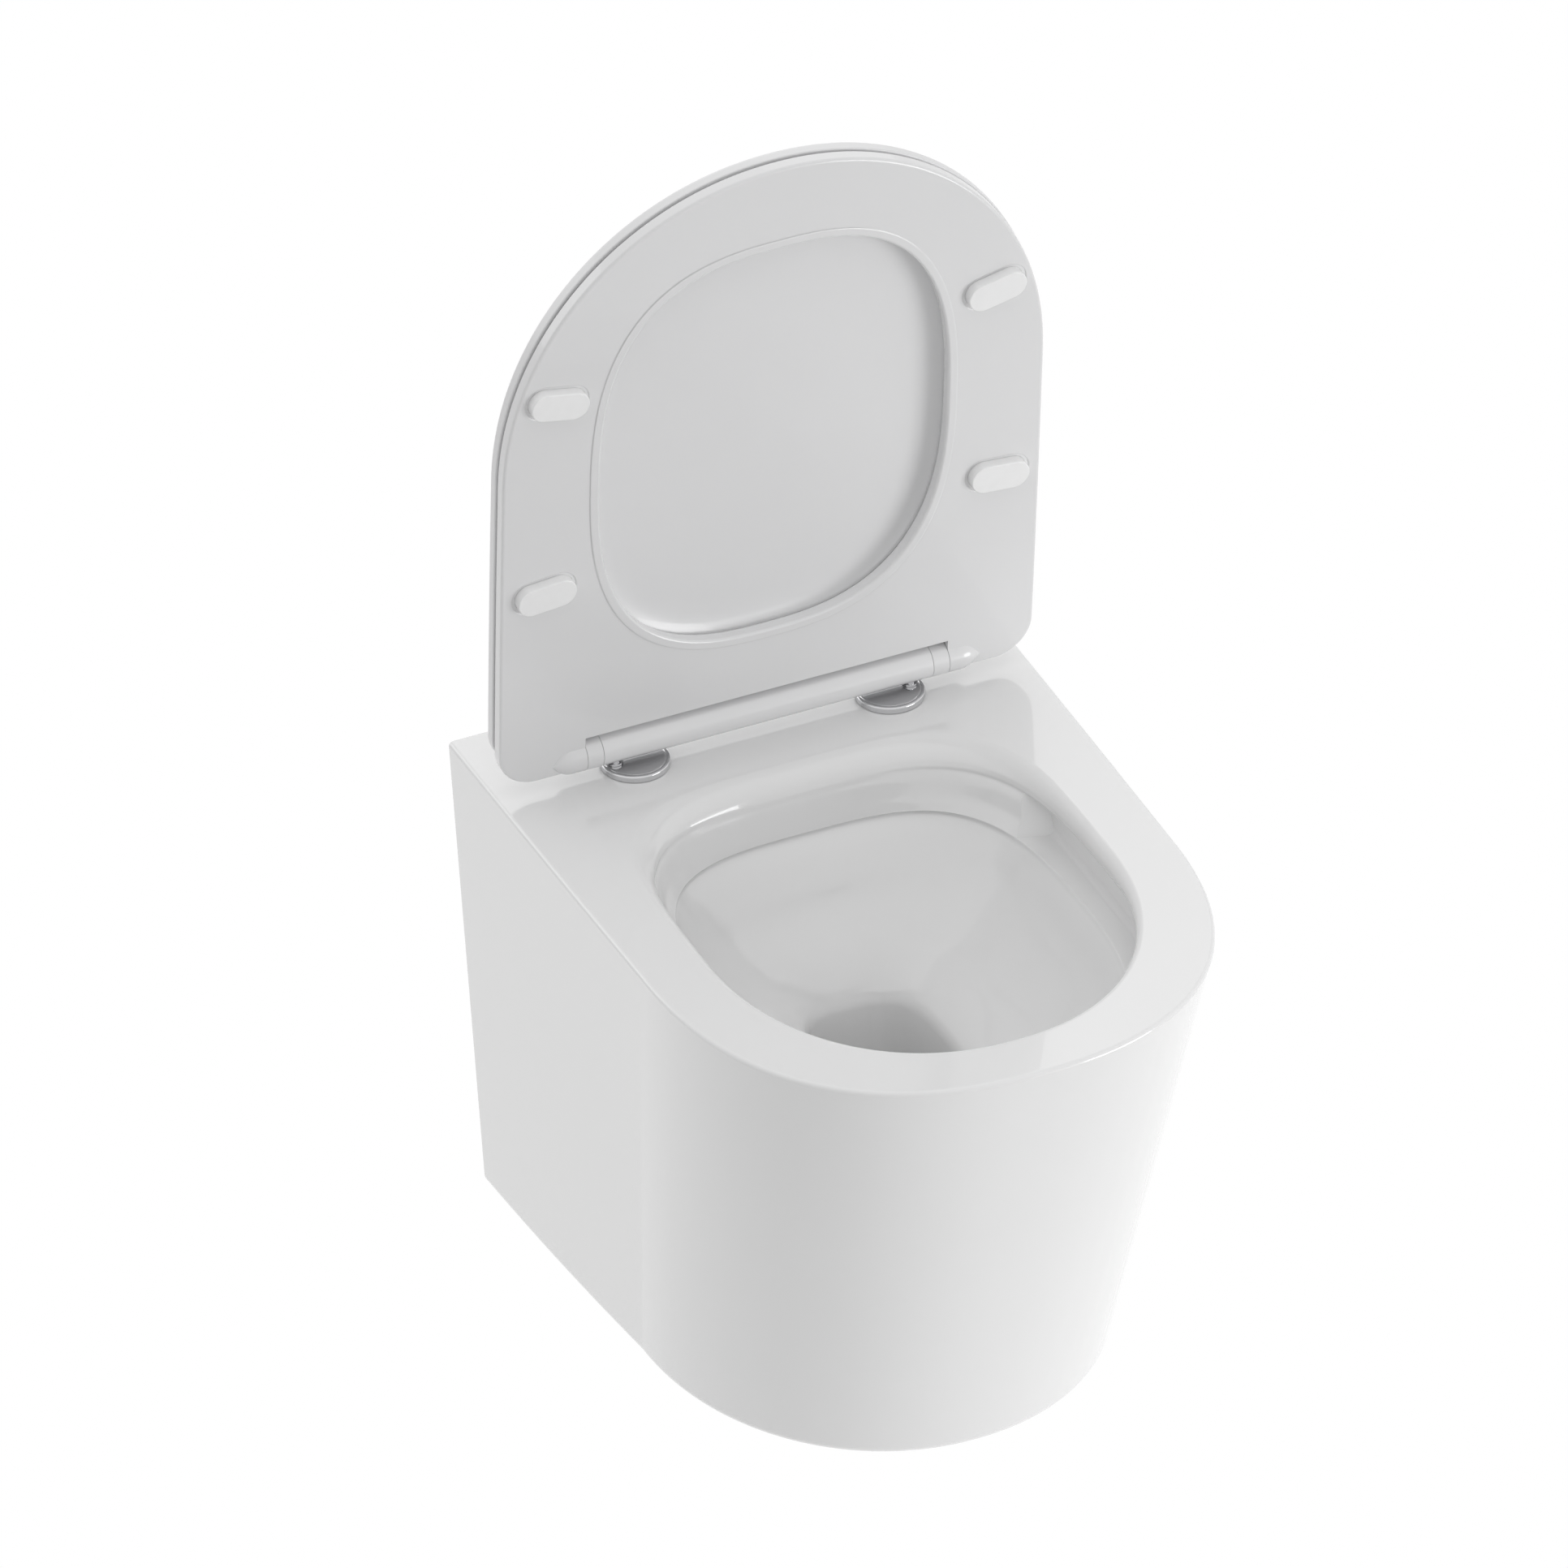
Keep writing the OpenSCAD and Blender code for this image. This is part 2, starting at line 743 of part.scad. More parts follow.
module wing_nuts() {
    top = -deck_t - bush_l - bolt_washer_t;
    color(nylon)
        at_seat_bolts()
            difference() {
                union() {
                    translate([0, 0, top - wing_h])
                        cylinder(r1 = 6.6, r2 = 8.5, h = wing_h);
                    for (a = [45, 225])
                        rotate([0, 0, a])
                            translate([5.5, 1.3, 0])
                                rotate([90, 0, 0])
                                    linear_extrude(2.6)
                                        polygon([
                                            [0, top - 1.5],
                                            [2.2, top - 1.5],
                                            [10.5, top - wing_h - 3],
                                            [9.5, top - wing_h - 6],
                                            [6.5, top - wing_h - 6],
                                            [0, top - wing_h + 1]
                                        ]);
                }
                translate([0, 0, top - wing_h - eps])
                    cylinder(r = bolt_r + run_gap, h = wing_h + 2 * eps);
            }
}

// The seat and the lid are drawn closed round the hinge axis and turned up to where they stand.
module raised() {
    at_hinge()
        rotate([-(90 - lean), 0, 0])
            children();
}

seat_rear = 7.6;
seat_corner = 25;
seat_straight = 224;
side_bow = 1.4;
hole_power = 2.68;
seat_z = [-seat_drop, -seat_drop + seat_t];
lid_z = [seat_z[1] + lid_gap, seat_z[1] + lid_gap + lid_t];

// The outline of the seat or the lid: back is how far it reaches behind the axis.
function plate_outline(half, len, back, corner) =
    let (c = [half - side_bow - corner, back - corner])
    concat(
        [for (t = [0:15:90]) [c[0] + corner * cos(t), c[1] + corner * sin(t)]],
        [for (x = [0.6, 0.2, -0.2, -0.6]) [x * c[0], back]],
        [for (t = [90:15:180]) [-c[0] + corner * cos(t), c[1] + corner * sin(t)]],
        [for (u = [0.2:0.2:0.8]) [-(half - side_bow * (1 - u)), mix(c[1], -seat_straight, u)]],
        [for (j = [0:seat_arc_n]) let (t = 180 + 180 * j / seat_arc_n)
            [half * spow(cos(t), 2 / 2.05), -seat_straight + (len - seat_straight) * spow(sin(t), 2 / 2.05)]],
        [for (u = [0.8:-0.2:0.2]) [half - side_bow * (1 - u), mix(c[1], -seat_straight, u)]]
    );

function towards(p, c, s) = let (v = c - p) p + v * s / norm(v);

// The point of the seat opening on the ray from its middle to p.
function hole_point(p, c) =
    let (
        v = (p - c) / norm(p - c),
        n = hole_power,
        r = pow(pow(abs(v[0]) / (hole_w / 2), n) + pow(abs(v[1]) / (hole_l / 2), n), -1 / n)
    )
    c + v * r;

lip_w = 6.8;
lip_h = 0.9;

// The section of the seat: [0 at the outline or 1 at the opening, inset, height].
seat_section = [
    [0, 0, seat_z[0] + 1.8],
    [0, 0.7, seat_z[0] + 0.5],
    [0, 2.2, seat_z[0]],
    [1, lip_w, seat_z[0]],
    [1, lip_w - 2.2, seat_z[0] - lip_h],
    [1, 1.3, seat_z[0] - lip_h],
    [1, 0, seat_z[0] + 0.6],
    [1, 0, seat_z[1] - 4],
    [1, 1.4, seat_z[1] - 1.2],
    [1, 4.6, seat_z[1]],
    [0, 3.6, seat_z[1]],
    [0, 1.1, seat_z[1] - 1],
    [0, 0, seat_z[1] - 3.2]
];

module seat_plate() {
    outline = plate_outline(seat_w / 2, seat_l, seat_rear, seat_corner);
    c = [0, -hole_mid];
    loop_skin([
        for (k = seat_section) [
            for (p = outline)
                let (q = k[0] == 0 ? towards(p, c, k[1]) : towards(hole_point(p, c), c, -k[1]))
                    [q[0], q[1], k[2]]
        ]
    ]);
}

notch_front = 16;
ear_w = 10.6;
lid_ear = [bar_half + rest_gap, bar_half + rest_gap + ear_w];
seat_ear = [lid_ear[1] + rest_gap, lid_ear[1] + rest_gap + ear_w - 1.8];
fairing_l = 13.2;
key_r = 5;
key_flat = 3.4;
bush_r = 5;

// A bullet shaped end that carries each seat ear into the underside.
module fairing(x) {
    translate([x, 0, 0])
        rotate([0, 90, 0])
            rotate_extrude()
                polygon(concat(
                    [[0, 0]],
                    [for (u = [0:0.125:0.875]) [bar_r * sqrt(1 - u * u), u * fairing_l]],
                    [[0, fairing_l]]
                ));
}

module keyed(gap, x1, x2) {
    translate([x1, 0, 0])
        rotate([0, 90, 0])
            linear_extrude(x2 - x1)
                intersection() {
                    circle(key_r + gap);
                    square([2 * (key_flat + gap), 4 * key_r], center = true);
                }
}

buffer_w = 19.5;
buffer_l = 39;
buffer_sink = 2.4;
recess_w = 2;
recess_h = 0.9;
// Each seat buffer: [distance from the centre line, distance from the hinge axis, turn].
front_buffer = [146, 283, -12];
rear_buffer = [152, 138, 5];

module buffer_shape(grow) {
    hull()
        for (s = [-1, 1])
            translate([s * (buffer_l - buffer_w) / 2, 0])
                circle(buffer_w / 2 + grow, $fn = 48);
}

module buffer_at(b, s, z, h, grow) {
    mirror([s < 0 ? 1 : 0, 0, 0])
        translate([b[0], -b[1], z])
            rotate([0, 0, b[2]])
                linear_extrude(h)
                    buffer_shape(grow);
}

module seat_ring() {
    color(plastic)
        raised()
            difference() {
                union() {
                    difference() {
                        seat_plate();
                        translate([-seat_ear[0], -notch_front, -20])
                            cube([2 * seat_ear[0], 40, 40]);
                    }
                    for (s = [0, 1])
                        mirror([s, 0, 0]) {
                            xcyl(bar_r, seat_ear[0], seat_ear[1]);
                            fairing(seat_ear[1]);
                        }
                }
                mirror([1, 0, 0])
                    xcyl(bush_r, seat_ear[0] - eps, seat_ear[1]);
                keyed(run_gap, seat_ear[0] - eps, seat_ear[1]);
                for (s = [-1, 1], b = [front_buffer, rear_buffer]) {
                    buffer_at(b, s, seat_z[0] - eps, recess_h + eps, recess_w);
                    buffer_at(b, s, seat_z[0], buffer_sink, fit_gap);
                }
            }
}

module seat_buffer(b, s) {
    color(glaze)
        raised()
            buffer_at(b, s, seat_z[0] - buffer_h, buffer_h + buffer_sink - fit_gap, 0);
}

// The shaft on the right turns with the seat: round through the lid ear and flatted in the seat ear.
module seat_shaft() {
    color(steel)
        raised() {
            xcyl(shaft_r, damper_end + 9, seat_ear[0] + 0.1);
            keyed(0, seat_ear[0] + 0.1, seat_ear[1] - 0.1);
        }
}

module seat_bush() {
    color(nylon)
        raised()
            mirror([1, 0, 0])
                difference() {
                    xcyl(bush_r - fit_gap, seat_ear[0] + 0.1, seat_ear[1] - 0.1);
                    xcyl(shaft_r + run_gap, seat_ear[0] - eps, seat_ear[1] + eps);
                }
}

lid_over = 0.8;
lid_back = -3.2;
lid_corner = 22;
dish = 4.6;

// The section of the lid from the middle of its inner face, which drops in a cove just outside the seat
// opening, to the middle of its outer face: [0 at the outline or 1 at the opening, inset, height].
lid_section = [
    [1, -75, lid_z[0] + dish],
    [1, -34, lid_z[0] + dish * 0.98],
    [1, -14, lid_z[0] + dish * 0.9],
    [1, -8.5, lid_z[0] + dish * 0.8],
    [1, -4, lid_z[0] + dish * 0.6],
    [1, -0.5, lid_z[0] + dish * 0.32],
    [1, 1.6, lid_z[0] + dish * 0.1],
    [1, 3.2, lid_z[0]],
    [0, 1.4, lid_z[0]],
    [0, 0, lid_z[0] + 1.4],
    [0, 0, lid_z[1] - 3.2],
    [0, 1.1, lid_z[1] - 1.1],
    [0, 3.8, lid_z[1] - 0.25],
    [0, 14, lid_z[1]]
];

module lid_plate() {
    outline = plate_outline(seat_w / 2 + lid_over, seat_l + lid_over, lid_back, lid_corner);
    c = [0, -hole_mid];
    skin([
        for (k = lid_section) [
            for (p = outline)
                let (q = k[0] == 0 ? towards(p, c, k[1]) : towards(hole_point(p, c), c, -k[1]))
                    [q[0], q[1], k[2]]
        ]
    ]);
}

lid_notch_half = seat_ear[1] + fairing_l + 0.6;
lid_buffer = [118, 318];
lid_buffer_r = 6;
lid_buffer_sink = 4;

module lid() {
    color(plastic)
        raised()
            difference() {
                union() {
                    difference() {
                        lid_plate();
                        translate([-lid_notch_half, -notch_front, -20])
                            cube([2 * lid_notch_half, 40, 50]);
                    }
                    for (s = [0, 1])
                        mirror([s, 0, 0]) {
                            xcyl(bar_r, lid_ear[0], lid_ear[1]);
                            translate([lid_ear[0], -notch_front - 4, lid_z[0]])
                                cube([lid_ear[1] - lid_ear[0], notch_front + 4, lid_z[1] - lid_z[0] - 2]);
                        }
                }
                mirror([1, 0, 0])
                    keyed(run_gap, lid_ear[0] - eps, lid_ear[1] + eps);
                xcyl(bush_r, lid_ear[0] - eps, lid_ear[1] + eps);
                for (s = [-1, 1])
                    translate([s * lid_buffer[0], -lid_buffer[1], lid_z[0] - eps])
                        cylinder(r = lid_buffer_r + fit_gap, h = lid_buffer_sink + eps);
            }
}

// The shaft on the left turns with the lid: flatted in the lid ear and round in the seat ear.
module lid_shaft() {
    color(steel)
        raised()
            mirror([1, 0, 0]) {
                xcyl(shaft_r, damper_end + 9, lid_ear[0]);
                keyed(0, lid_ear[0], lid_ear[1]);
                xcyl(shaft_r, lid_ear[1], seat_ear[1] - 0.4);
            }
}

module lid_bush() {
    color(nylon)
        raised()
            difference() {
                xcyl(bush_r - fit_gap, lid_ear[0] + 0.1, lid_ear[1] - 0.1);
                xcyl(shaft_r + run_gap, lid_ear[0] - eps, lid_ear[1] + eps);
            }
}

module lid_bumper(s) {
    color(glaze)
        raised()
            translate([s * lid_buffer[0], -lid_buffer[1], seat_z[1] + rest_gap])
                cylinder(r = lid_buffer_r, h = lid_gap - rest_gap + lid_buffer_sink - fit_gap);
}

pan();
flush_seal();
wall_sleeves();
wall_washers();
wall_nuts();
hinge_bar();
bar_plug(-1);  // bar_plug_left
bar_plug(1);  // bar_plug_right
damper(-1);  // damper_left
damper(1);  // damper_right
hinge_post(-1);  // hinge_post_left
hinge_post(1);  // hinge_post_right
cover_disc(-1);  // cover_disc_left
cover_disc(1);  // cover_disc_right
base_plate(-1);  // base_plate_left
base_plate(1);  // base_plate_right
disc_gasket(-1);  // disc_gasket_left
disc_gasket(1);  // disc_gasket_right
seat_bolts();
deck_bushes();
bolt_washers();
wing_nuts();
seat_ring();
seat_shaft();
seat_bush();
seat_buffer(front_buffer, -1);  // seat_buffer_front_left
seat_buffer(front_buffer, 1);  // seat_buffer_front_right
seat_buffer(rear_buffer, -1);  // seat_buffer_rear_left
seat_buffer(rear_buffer, 1);  // seat_buffer_rear_right
lid();
lid_shaft();
lid_bush();
lid_bumper(-1);  // lid_buffer_left
lid_bumper(1);  // lid_buffer_right
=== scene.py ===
"""Wall hung toilet: smooth glazed pan, seat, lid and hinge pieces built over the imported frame."""
import json
import math

import bpy
import numpy as np
from mathutils import Matrix, Vector


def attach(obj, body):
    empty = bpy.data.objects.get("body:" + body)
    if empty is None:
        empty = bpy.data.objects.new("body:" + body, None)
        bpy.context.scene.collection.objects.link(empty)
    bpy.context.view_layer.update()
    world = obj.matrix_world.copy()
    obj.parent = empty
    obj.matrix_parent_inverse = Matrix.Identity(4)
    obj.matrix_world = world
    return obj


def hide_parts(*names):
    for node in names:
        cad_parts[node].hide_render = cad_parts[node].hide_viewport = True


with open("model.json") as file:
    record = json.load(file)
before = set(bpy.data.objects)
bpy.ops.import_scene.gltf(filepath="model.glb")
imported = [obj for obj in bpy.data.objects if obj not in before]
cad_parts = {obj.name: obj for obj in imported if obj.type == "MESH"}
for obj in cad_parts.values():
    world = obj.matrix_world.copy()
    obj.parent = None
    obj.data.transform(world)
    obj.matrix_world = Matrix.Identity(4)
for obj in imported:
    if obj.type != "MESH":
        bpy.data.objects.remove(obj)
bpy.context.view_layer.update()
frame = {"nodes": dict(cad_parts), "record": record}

# Sizes in millimetres. D is a depth out from the wall (y = -D), and the pan is drawn with its deck
# at z = 0, then lifted to DECK_Z.
MM = 0.001
DECK_Z = 80.0

# Pan: the outline at the rim and at the foot, then its edges
PAN_W, PAN_L, PAN_H = 360.0, 474.0, 338.0
FOOT_W, FOOT_L = 322.0, 380.0
NOSE_L, FOOT_NOSE_L = 197.0, 173.0
SIDE_TAPER, NOSE_POWER = (3.0, 13.0), (2.37, 2.07)
TOP_ROUND, REAR_ROLL, REAR_EDGE = 2.8, 1.6, 2.5
FOOT_ROUND_H, FOOT_ROUND_W = 7.0, 6.0
# thicknesses of the ceramic
SKIRT_T, DECK_T, BACK_T = 11.0, 14.0, 12.0
CHAMBER_T, HORN_T, PIPE_T, PORT_T, BOSS_T = 8.0, 9.0, 8.0, 5.0, 26.0
# the opening of the bowl, the shelf under it and the depth of the flush channel in its side
BOWL_REAR, BOWL_FRONT, BOWL_A = 118.0, 443.0, 130.0
SHELF = 38.5
CHANNEL = 8.0
# the connections in the back and the bolt holes
FIX_X, FIX_HOLE_R, BOSS_R = 90.0, 9.0, 24.0
INLET_R, INLET_Z, HORN_L = 27.5, -45.0, 102.0
OUTLET_R, OUTLET_Z, SPIGOT_L = 51.0, -180.0, 85.0
SHOULDER_R, SHOULDER_L = OUTLET_R + 3, 149.0
WINDOW_R, WINDOW_CORNER, WINDOW_SILL = 85.0, 20.0, 38.0
SEAT_BOLT_X, DECK_HOLE_R = 77.5, 8.0

# Hinge: its axis, how far the raised seat leans back, and where the ears start and end along x
HINGE_D, HINGE_Z = 71.0, 18.3
LEAN = math.radians(4.2)
BAR_R, SHAFT_BORE_R = 11.0, 5.05
LID_EAR = (111.3, 121.9)
SEAT_EAR = (122.2, 131.0)
FAIRING_L = 13.2

# Seat and lid, drawn closed, with y and z measured from the hinge axis
SEAT_HALF, SEAT_L, SEAT_REAR, SEAT_CORNER = 181.0, 417.0, 7.6, 25.0
SEAT_BOTTOM, SEAT_TOP = -6.5, 2.5
SEAT_STRAIGHT, SIDE_BOW, SEAT_POWER = 224.0, 1.4, 2.05
HOLE_W, HOLE_L, HOLE_MID, HOLE_POWER = 116.5, 146.5, 210.5, 2.68
LIP_W, LIP_H = 6.8, 0.9
LID_BOTTOM, LID_TOP = 3.7, 12.5
LID_OVER, LID_BACK, LID_CORNER, DISH = 0.8, -3.2, 22.0, 4.6
LID_BUFFER_X, LID_BUFFER_D, LID_BUFFER_R = 118.0, 318.0, 6.1
# how far the gap for the bar reaches in front of the axis and behind it, and half the lid's gap
NOTCH, NOTCH_REAR = 16.0, 24.0
LID_NOTCH = SEAT_EAR[1] + FAIRING_L + 0.6

# Seat buffers, the front pair and the rear pair: x, distance from the hinge axis, turn in degrees
BUFFERS = ((146.0, 283.0, -12.0), (152.0, 138.0, 5.0))
BUFFER_W, BUFFER_L, BUFFER_H = 19.5, 39.0, 5.5
BUFFER_SINK, BUFFER_EDGE = 2.4, 0.8
RECESS_W, RECESS_H = 2.0, 0.9

# Chrome discs and the posts through them
DISC_X, DISC_R, DISC_H, DISC_EDGE = 86.0, 22.0, 4.6, 1.1
POST_X, POST_R, POST_GAP = 99.5, 3.5, 1.2


def mix(a, b, u):
    return a + (b - a) * u


# Mesh helpers
def new_mesh(name, verts, faces):
    """A mesh in millimetres with its faces turned outwards, as an object in metres."""
    v = np.asarray(verts, float)
    me = bpy.data.meshes.new(name)
    me.from_pydata((v * MM).tolist(), [], faces)
    me.update()
    ob = bpy.data.objects.new(name, me)
    bpy.context.scene.collection.objects.link(ob)
    if signed_volume(me) < 0:
        me.flip_normals()
    return ob


def signed_volume(me):
    me.calc_loop_triangles()
    co = np.array([v.co[:] for v in me.vertices])
    tri = np.array([t.vertices[:] for t in me.loop_triangles])
    a, b, c = co[tri[:, 0]], co[tri[:, 1]], co[tri[:, 2]]
    return float(np.einsum("ij,ij->i", np.cross(a, b), c).sum() / 6)


def skin(name, rings, loop=False):
    """A surface over rings of equal point count, capped at both ends or joined into a loop."""
    rings = [np.asarray(r, float) for r in rings]
    n, m = len(rings[0]), len(rings)
    faces = []
    for i in range(m if loop else m - 1):
        k = (i + 1) % m
        for j in range(n):
            q = (j + 1) % n
            faces.append((i * n + j, k * n + j, k * n + q, i * n + q))
    if not loop:
        faces.append(tuple(range(n)))
        faces.append(tuple((m - 1) * n + j for j in range(n - 1, -1, -1)))
    return new_mesh(name, np.concatenate(rings), faces)


def arc(x, y, r, t0, t1, count, end=True):
    """Points round (x, y) from the angle t0 to t1."""
    angles = np.linspace(t0, t1, count, endpoint=end)
    return [(x + r * math.cos(t), y + r * math.sin(t)) for t in angles]


def circle(r, steps):
    """Points round a circle about the origin."""
    return arc(0, 0, r, 0, 2 * math.pi, steps, end=False)


def lathe(name, profile, steps):
    """A closed profile of (radius, height) points turned round the vertical axis."""
    return skin(name, [[(r * math.cos(t), r * math.sin(t), h) for r, h in profile]
                       for t in np.linspace(0, 2 * math.pi, steps, endpoint=False)], loop=True)


# a radius near enough to none for a turned piece, and how many sides the cylinders have
ON_AXIS = 0.001
ROD_STEPS, XROD_STEPS = 128, 96


def plug(name, r, z0, z1, steps):
    """An upright cylinder, to cut a hole with."""
    return lathe(name, [(ON_AXIS, z0), (r, z0), (r, z1), (ON_AXIS, z1)], steps)


def rod(name, r, x, z, d1, d2):
    """A cylinder along the depth of the pan, from D = d1 to D = d2."""
    return skin(name, [[(x + a, -d, z + b) for a, b in circle(r, ROD_STEPS)] for d in (d1, d2)])


def xrod(name, r, x1, x2):
    """A cylinder along the hinge axis."""
    return skin(name, [[(x, a, b) for a, b in circle(r, XROD_STEPS)] for x in (x1, x2)])


def block(name, lo, hi):
    """A box between two corners."""
    (x0, y0, z0), (x1, y1, z1) = lo, hi
    ring = [(x0, y0), (x1, y0), (x1, y1), (x0, y1)]
    return skin(name, [[(a, b, z) for a, b in ring] for z in (z0, z1)])


def move(ob, matrix):
    ob.data.transform(matrix)
    ob.data.update()
    return ob


def shift(x, y, z):
    return Matrix.Translation(Vector((x, y, z)) * MM)


def mirrored(ob, s):
    """The object as it is, or on the left side where s is negative."""
    if s < 0:
        ob.data.transform(Matrix.Scale(-1, 4, (1, 0, 0)))
        ob.data.flip_normals()
    return ob


def cut_and_join(base, steps):
    """Works through (operation, object) pairs on base."""
    for n, (operation, other) in enumerate(steps):
        mod = base.modifiers.new(f"b{n}", "BOOLEAN")
        mod.operation = operation
        mod.solver = "MANIFOLD"
        mod.object = other
    settle(base)
    for _, other in steps:
        me = other.data
        bpy.data.objects.remove(other)
        bpy.data.meshes.remove(me)
    return base


def settle(ob):
    """Makes the modified shape the object's own mesh."""
    bpy.context.view_layer.update()
    graph = bpy.context.evaluated_depsgraph_get()
    me = bpy.data.meshes.new_from_object(ob.evaluated_get(graph))
    old = ob.data
    ob.modifiers.clear()
    ob.data = me
    bpy.data.meshes.remove(old)
    return ob


# degrees above which an edge is sharp: on the pan, the seat and lid, small pieces and CAD pieces
PAN_CREASE, PLATE_CREASE, SMALL_CREASE, CAD_CREASE = 32, 34, 40, 30


def smooth(ob, angle):
    """Smooth shading, sharp at edges of more than angle degrees, with flat faces kept flat."""
    ob.data.shade_smooth()
    ob.data.set_sharp_from_angle(angle=math.radians(angle))
    mod = ob.modifiers.new("flat faces stay flat", "WEIGHTED_NORMAL")
    mod.mode = "FACE_AREA"
    mod.weight = 90
    mod.keep_sharp = True
    return settle(ob)


def finish(ob, node, body, slot, look=None):
    """Puts the piece in the place of its CAD node, on its body and in its material."""
    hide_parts(node)
    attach(ob, body)
    ob.data.materials.clear()
    ob.data.materials.append(LOOKS[look or slot])


def between(p, q, t0, t1, u):
    """The value at u on the line from p at t0 to q at t1."""
    return p * (t1 - u) / (t1 - t0) + q * (u - t0) / (t1 - t0)


def through(points, steps):
    """A smooth curve through rows of numbers, as centripetal Catmull-Rom pieces."""
    p = np.asarray(points, float)
    p = np.vstack([2 * p[0] - p[1], p, 2 * p[-1] - p[-2]])
    out = []
    for i in range(1, len(p) - 2):
        t = [0.0]
        for a in range(3):
            t.append(t[-1] + max(np.linalg.norm(p[i + a, :4] - p[i - 1 + a, :4]), 1e-6) ** 0.5)
        for u in np.linspace(t[1], t[2], steps, endpoint=False):
            a = [between(p[i - 1 + k], p[i + k], t[k], t[k + 1], u) for k in range(3)]
            b = [between(a[k], a[k + 1], t[k], t[k + 2], u) for k in range(2)]
            out.append(between(b[0], b[1], t[1], t[2], u))
    out.append(p[-2])
    return out


def spaced(points, count):
    """count points at equal steps along an open line, without its last point."""
    p = np.asarray(points, float)
    run = np.concatenate([[0], np.cumsum(np.linalg.norm(np.diff(p, axis=0), axis=1))])
    want = np.linspace(0, run[-1], count, endpoint=False)
    return np.stack([np.interp(want, run, p[:, k]) for k in range(p.shape[1])], axis=1)


# Points on each half of a rounded front, on a ring of the bowl, and on a curve before spacing
ARC, RING, FINE = 90, 200, 300


def skirt_ring(z, u, inset, rear):
    """The outline at height z, u of the way from the rim to the foot, drawn in by inset, or at the
    wall by rear."""
    w = mix(PAN_W, FOOT_W, u) / 2 - inset
    w2 = w - mix(*SIDE_TAPER, u)
    length = mix(PAN_L, FOOT_L, u) - inset
    straight = mix(PAN_L - NOSE_L, FOOT_L - FOOT_NOSE_L, u)
    e = 2 / mix(*NOSE_POWER, u)
    half = [(x, -rear) for x in np.linspace(0, w - REAR_EDGE, 12, endpoint=False)]
    half += arc(w - REAR_EDGE, -rear - REAR_EDGE, REAR_EDGE, math.pi / 2, 0, 6, end=False)
    start = rear + REAR_EDGE
    for v in np.linspace(0, 1, 28, endpoint=False):
        half.append((mix(w, w2, v * v * 0.5 + v * 0.5), -mix(start, straight, v)))
    t = np.linspace(0, math.pi / 2, 400)
    nose = np.stack([w2 * np.cos(t) ** e,
                     -straight - (length - straight) * np.sin(t) ** e], axis=1)
    half += [tuple(p) for p in spaced(nose, ARC)]
    half.append((0.0, -length))
    other = [(-x, y) for x, y in half[-2:0:-1]]
    return np.array([(x, y, z) for x, y in half + other])


def skirt_at(z, inset, rear):
    """The outline at height z: the rim's as far as its edge, then evenly towards the foot's."""
    return skirt_ring(z, max(0.0, (-z - TOP_ROUND) / (PAN_H - TOP_ROUND)), inset, rear)


def skirt_body():
    """The outside of the pan as a solid, with its edges rounded."""
    rings = [skirt_at(-PAN_H, FOOT_ROUND_W + 1, 1)]
    for t in np.linspace(0, math.pi / 2, 9):
        rings.append(skirt_at(-PAN_H + FOOT_ROUND_H * (1 - math.cos(t)),
                              FOOT_ROUND_W * (1 - math.sin(t)), 0))
    for z in np.linspace(-PAN_H + FOOT_ROUND_H, -TOP_ROUND, 34)[1:-1]:
        rings.append(skirt_at(z, 0, 0))
    for t in np.linspace(0, math.pi / 2, 12):
        rings.append(skirt_at(-TOP_ROUND * (1 - math.sin(t)), TOP_ROUND * (1 - math.cos(t)),
                              REAR_ROLL * (1 - math.cos(t))))
    rings.append(skirt_at(0, TOP_ROUND + 1, REAR_ROLL + 1))
    return skin("pan_glaze", rings)


def skirt_hollow():
    """The open space inside the skirt, from below."""
    return skin("hollow", [skirt_at(z, SKIRT_T, BACK_T)
                           for z in np.linspace(-PAN_H - 8, -DECK_T, 14)])


def bowl_ring(rear, front, a, nr, nf, widest_at=0.5):
    """A level or tilted D: rear and front are (D, height), a is half the width, nr and nf set how
    square the two ends are, and widest_at says where between them it is widest."""
    rear, front = np.array(rear, float), np.array(front, float)
    widest = mix(rear, front, widest_at)
    t = np.linspace(0, math.pi / 2, FINE)
    quarters = []
    for end, n in ((rear, nr), (front, nf)):
        x = a * np.cos(t) ** (2 / n)
        p = widest + (end - widest) * (np.sin(t) ** (2 / n))[:, None]
        quarters.append(np.stack([x, -p[:, 0], p[:, 1]], axis=1))
    count = RING // 4
    flip = np.array([-1, 1, 1])
    side_to_rear = spaced(quarters[0], count)
    rear_to_side = spaced(quarters[0][::-1] * flip, count)
    side_to_front = spaced(quarters[1] * flip, count)
    front_to_side = spaced(quarters[1][::-1], count)
    return np.concatenate([side_to_rear, rear_to_side, side_to_front, front_to_side])


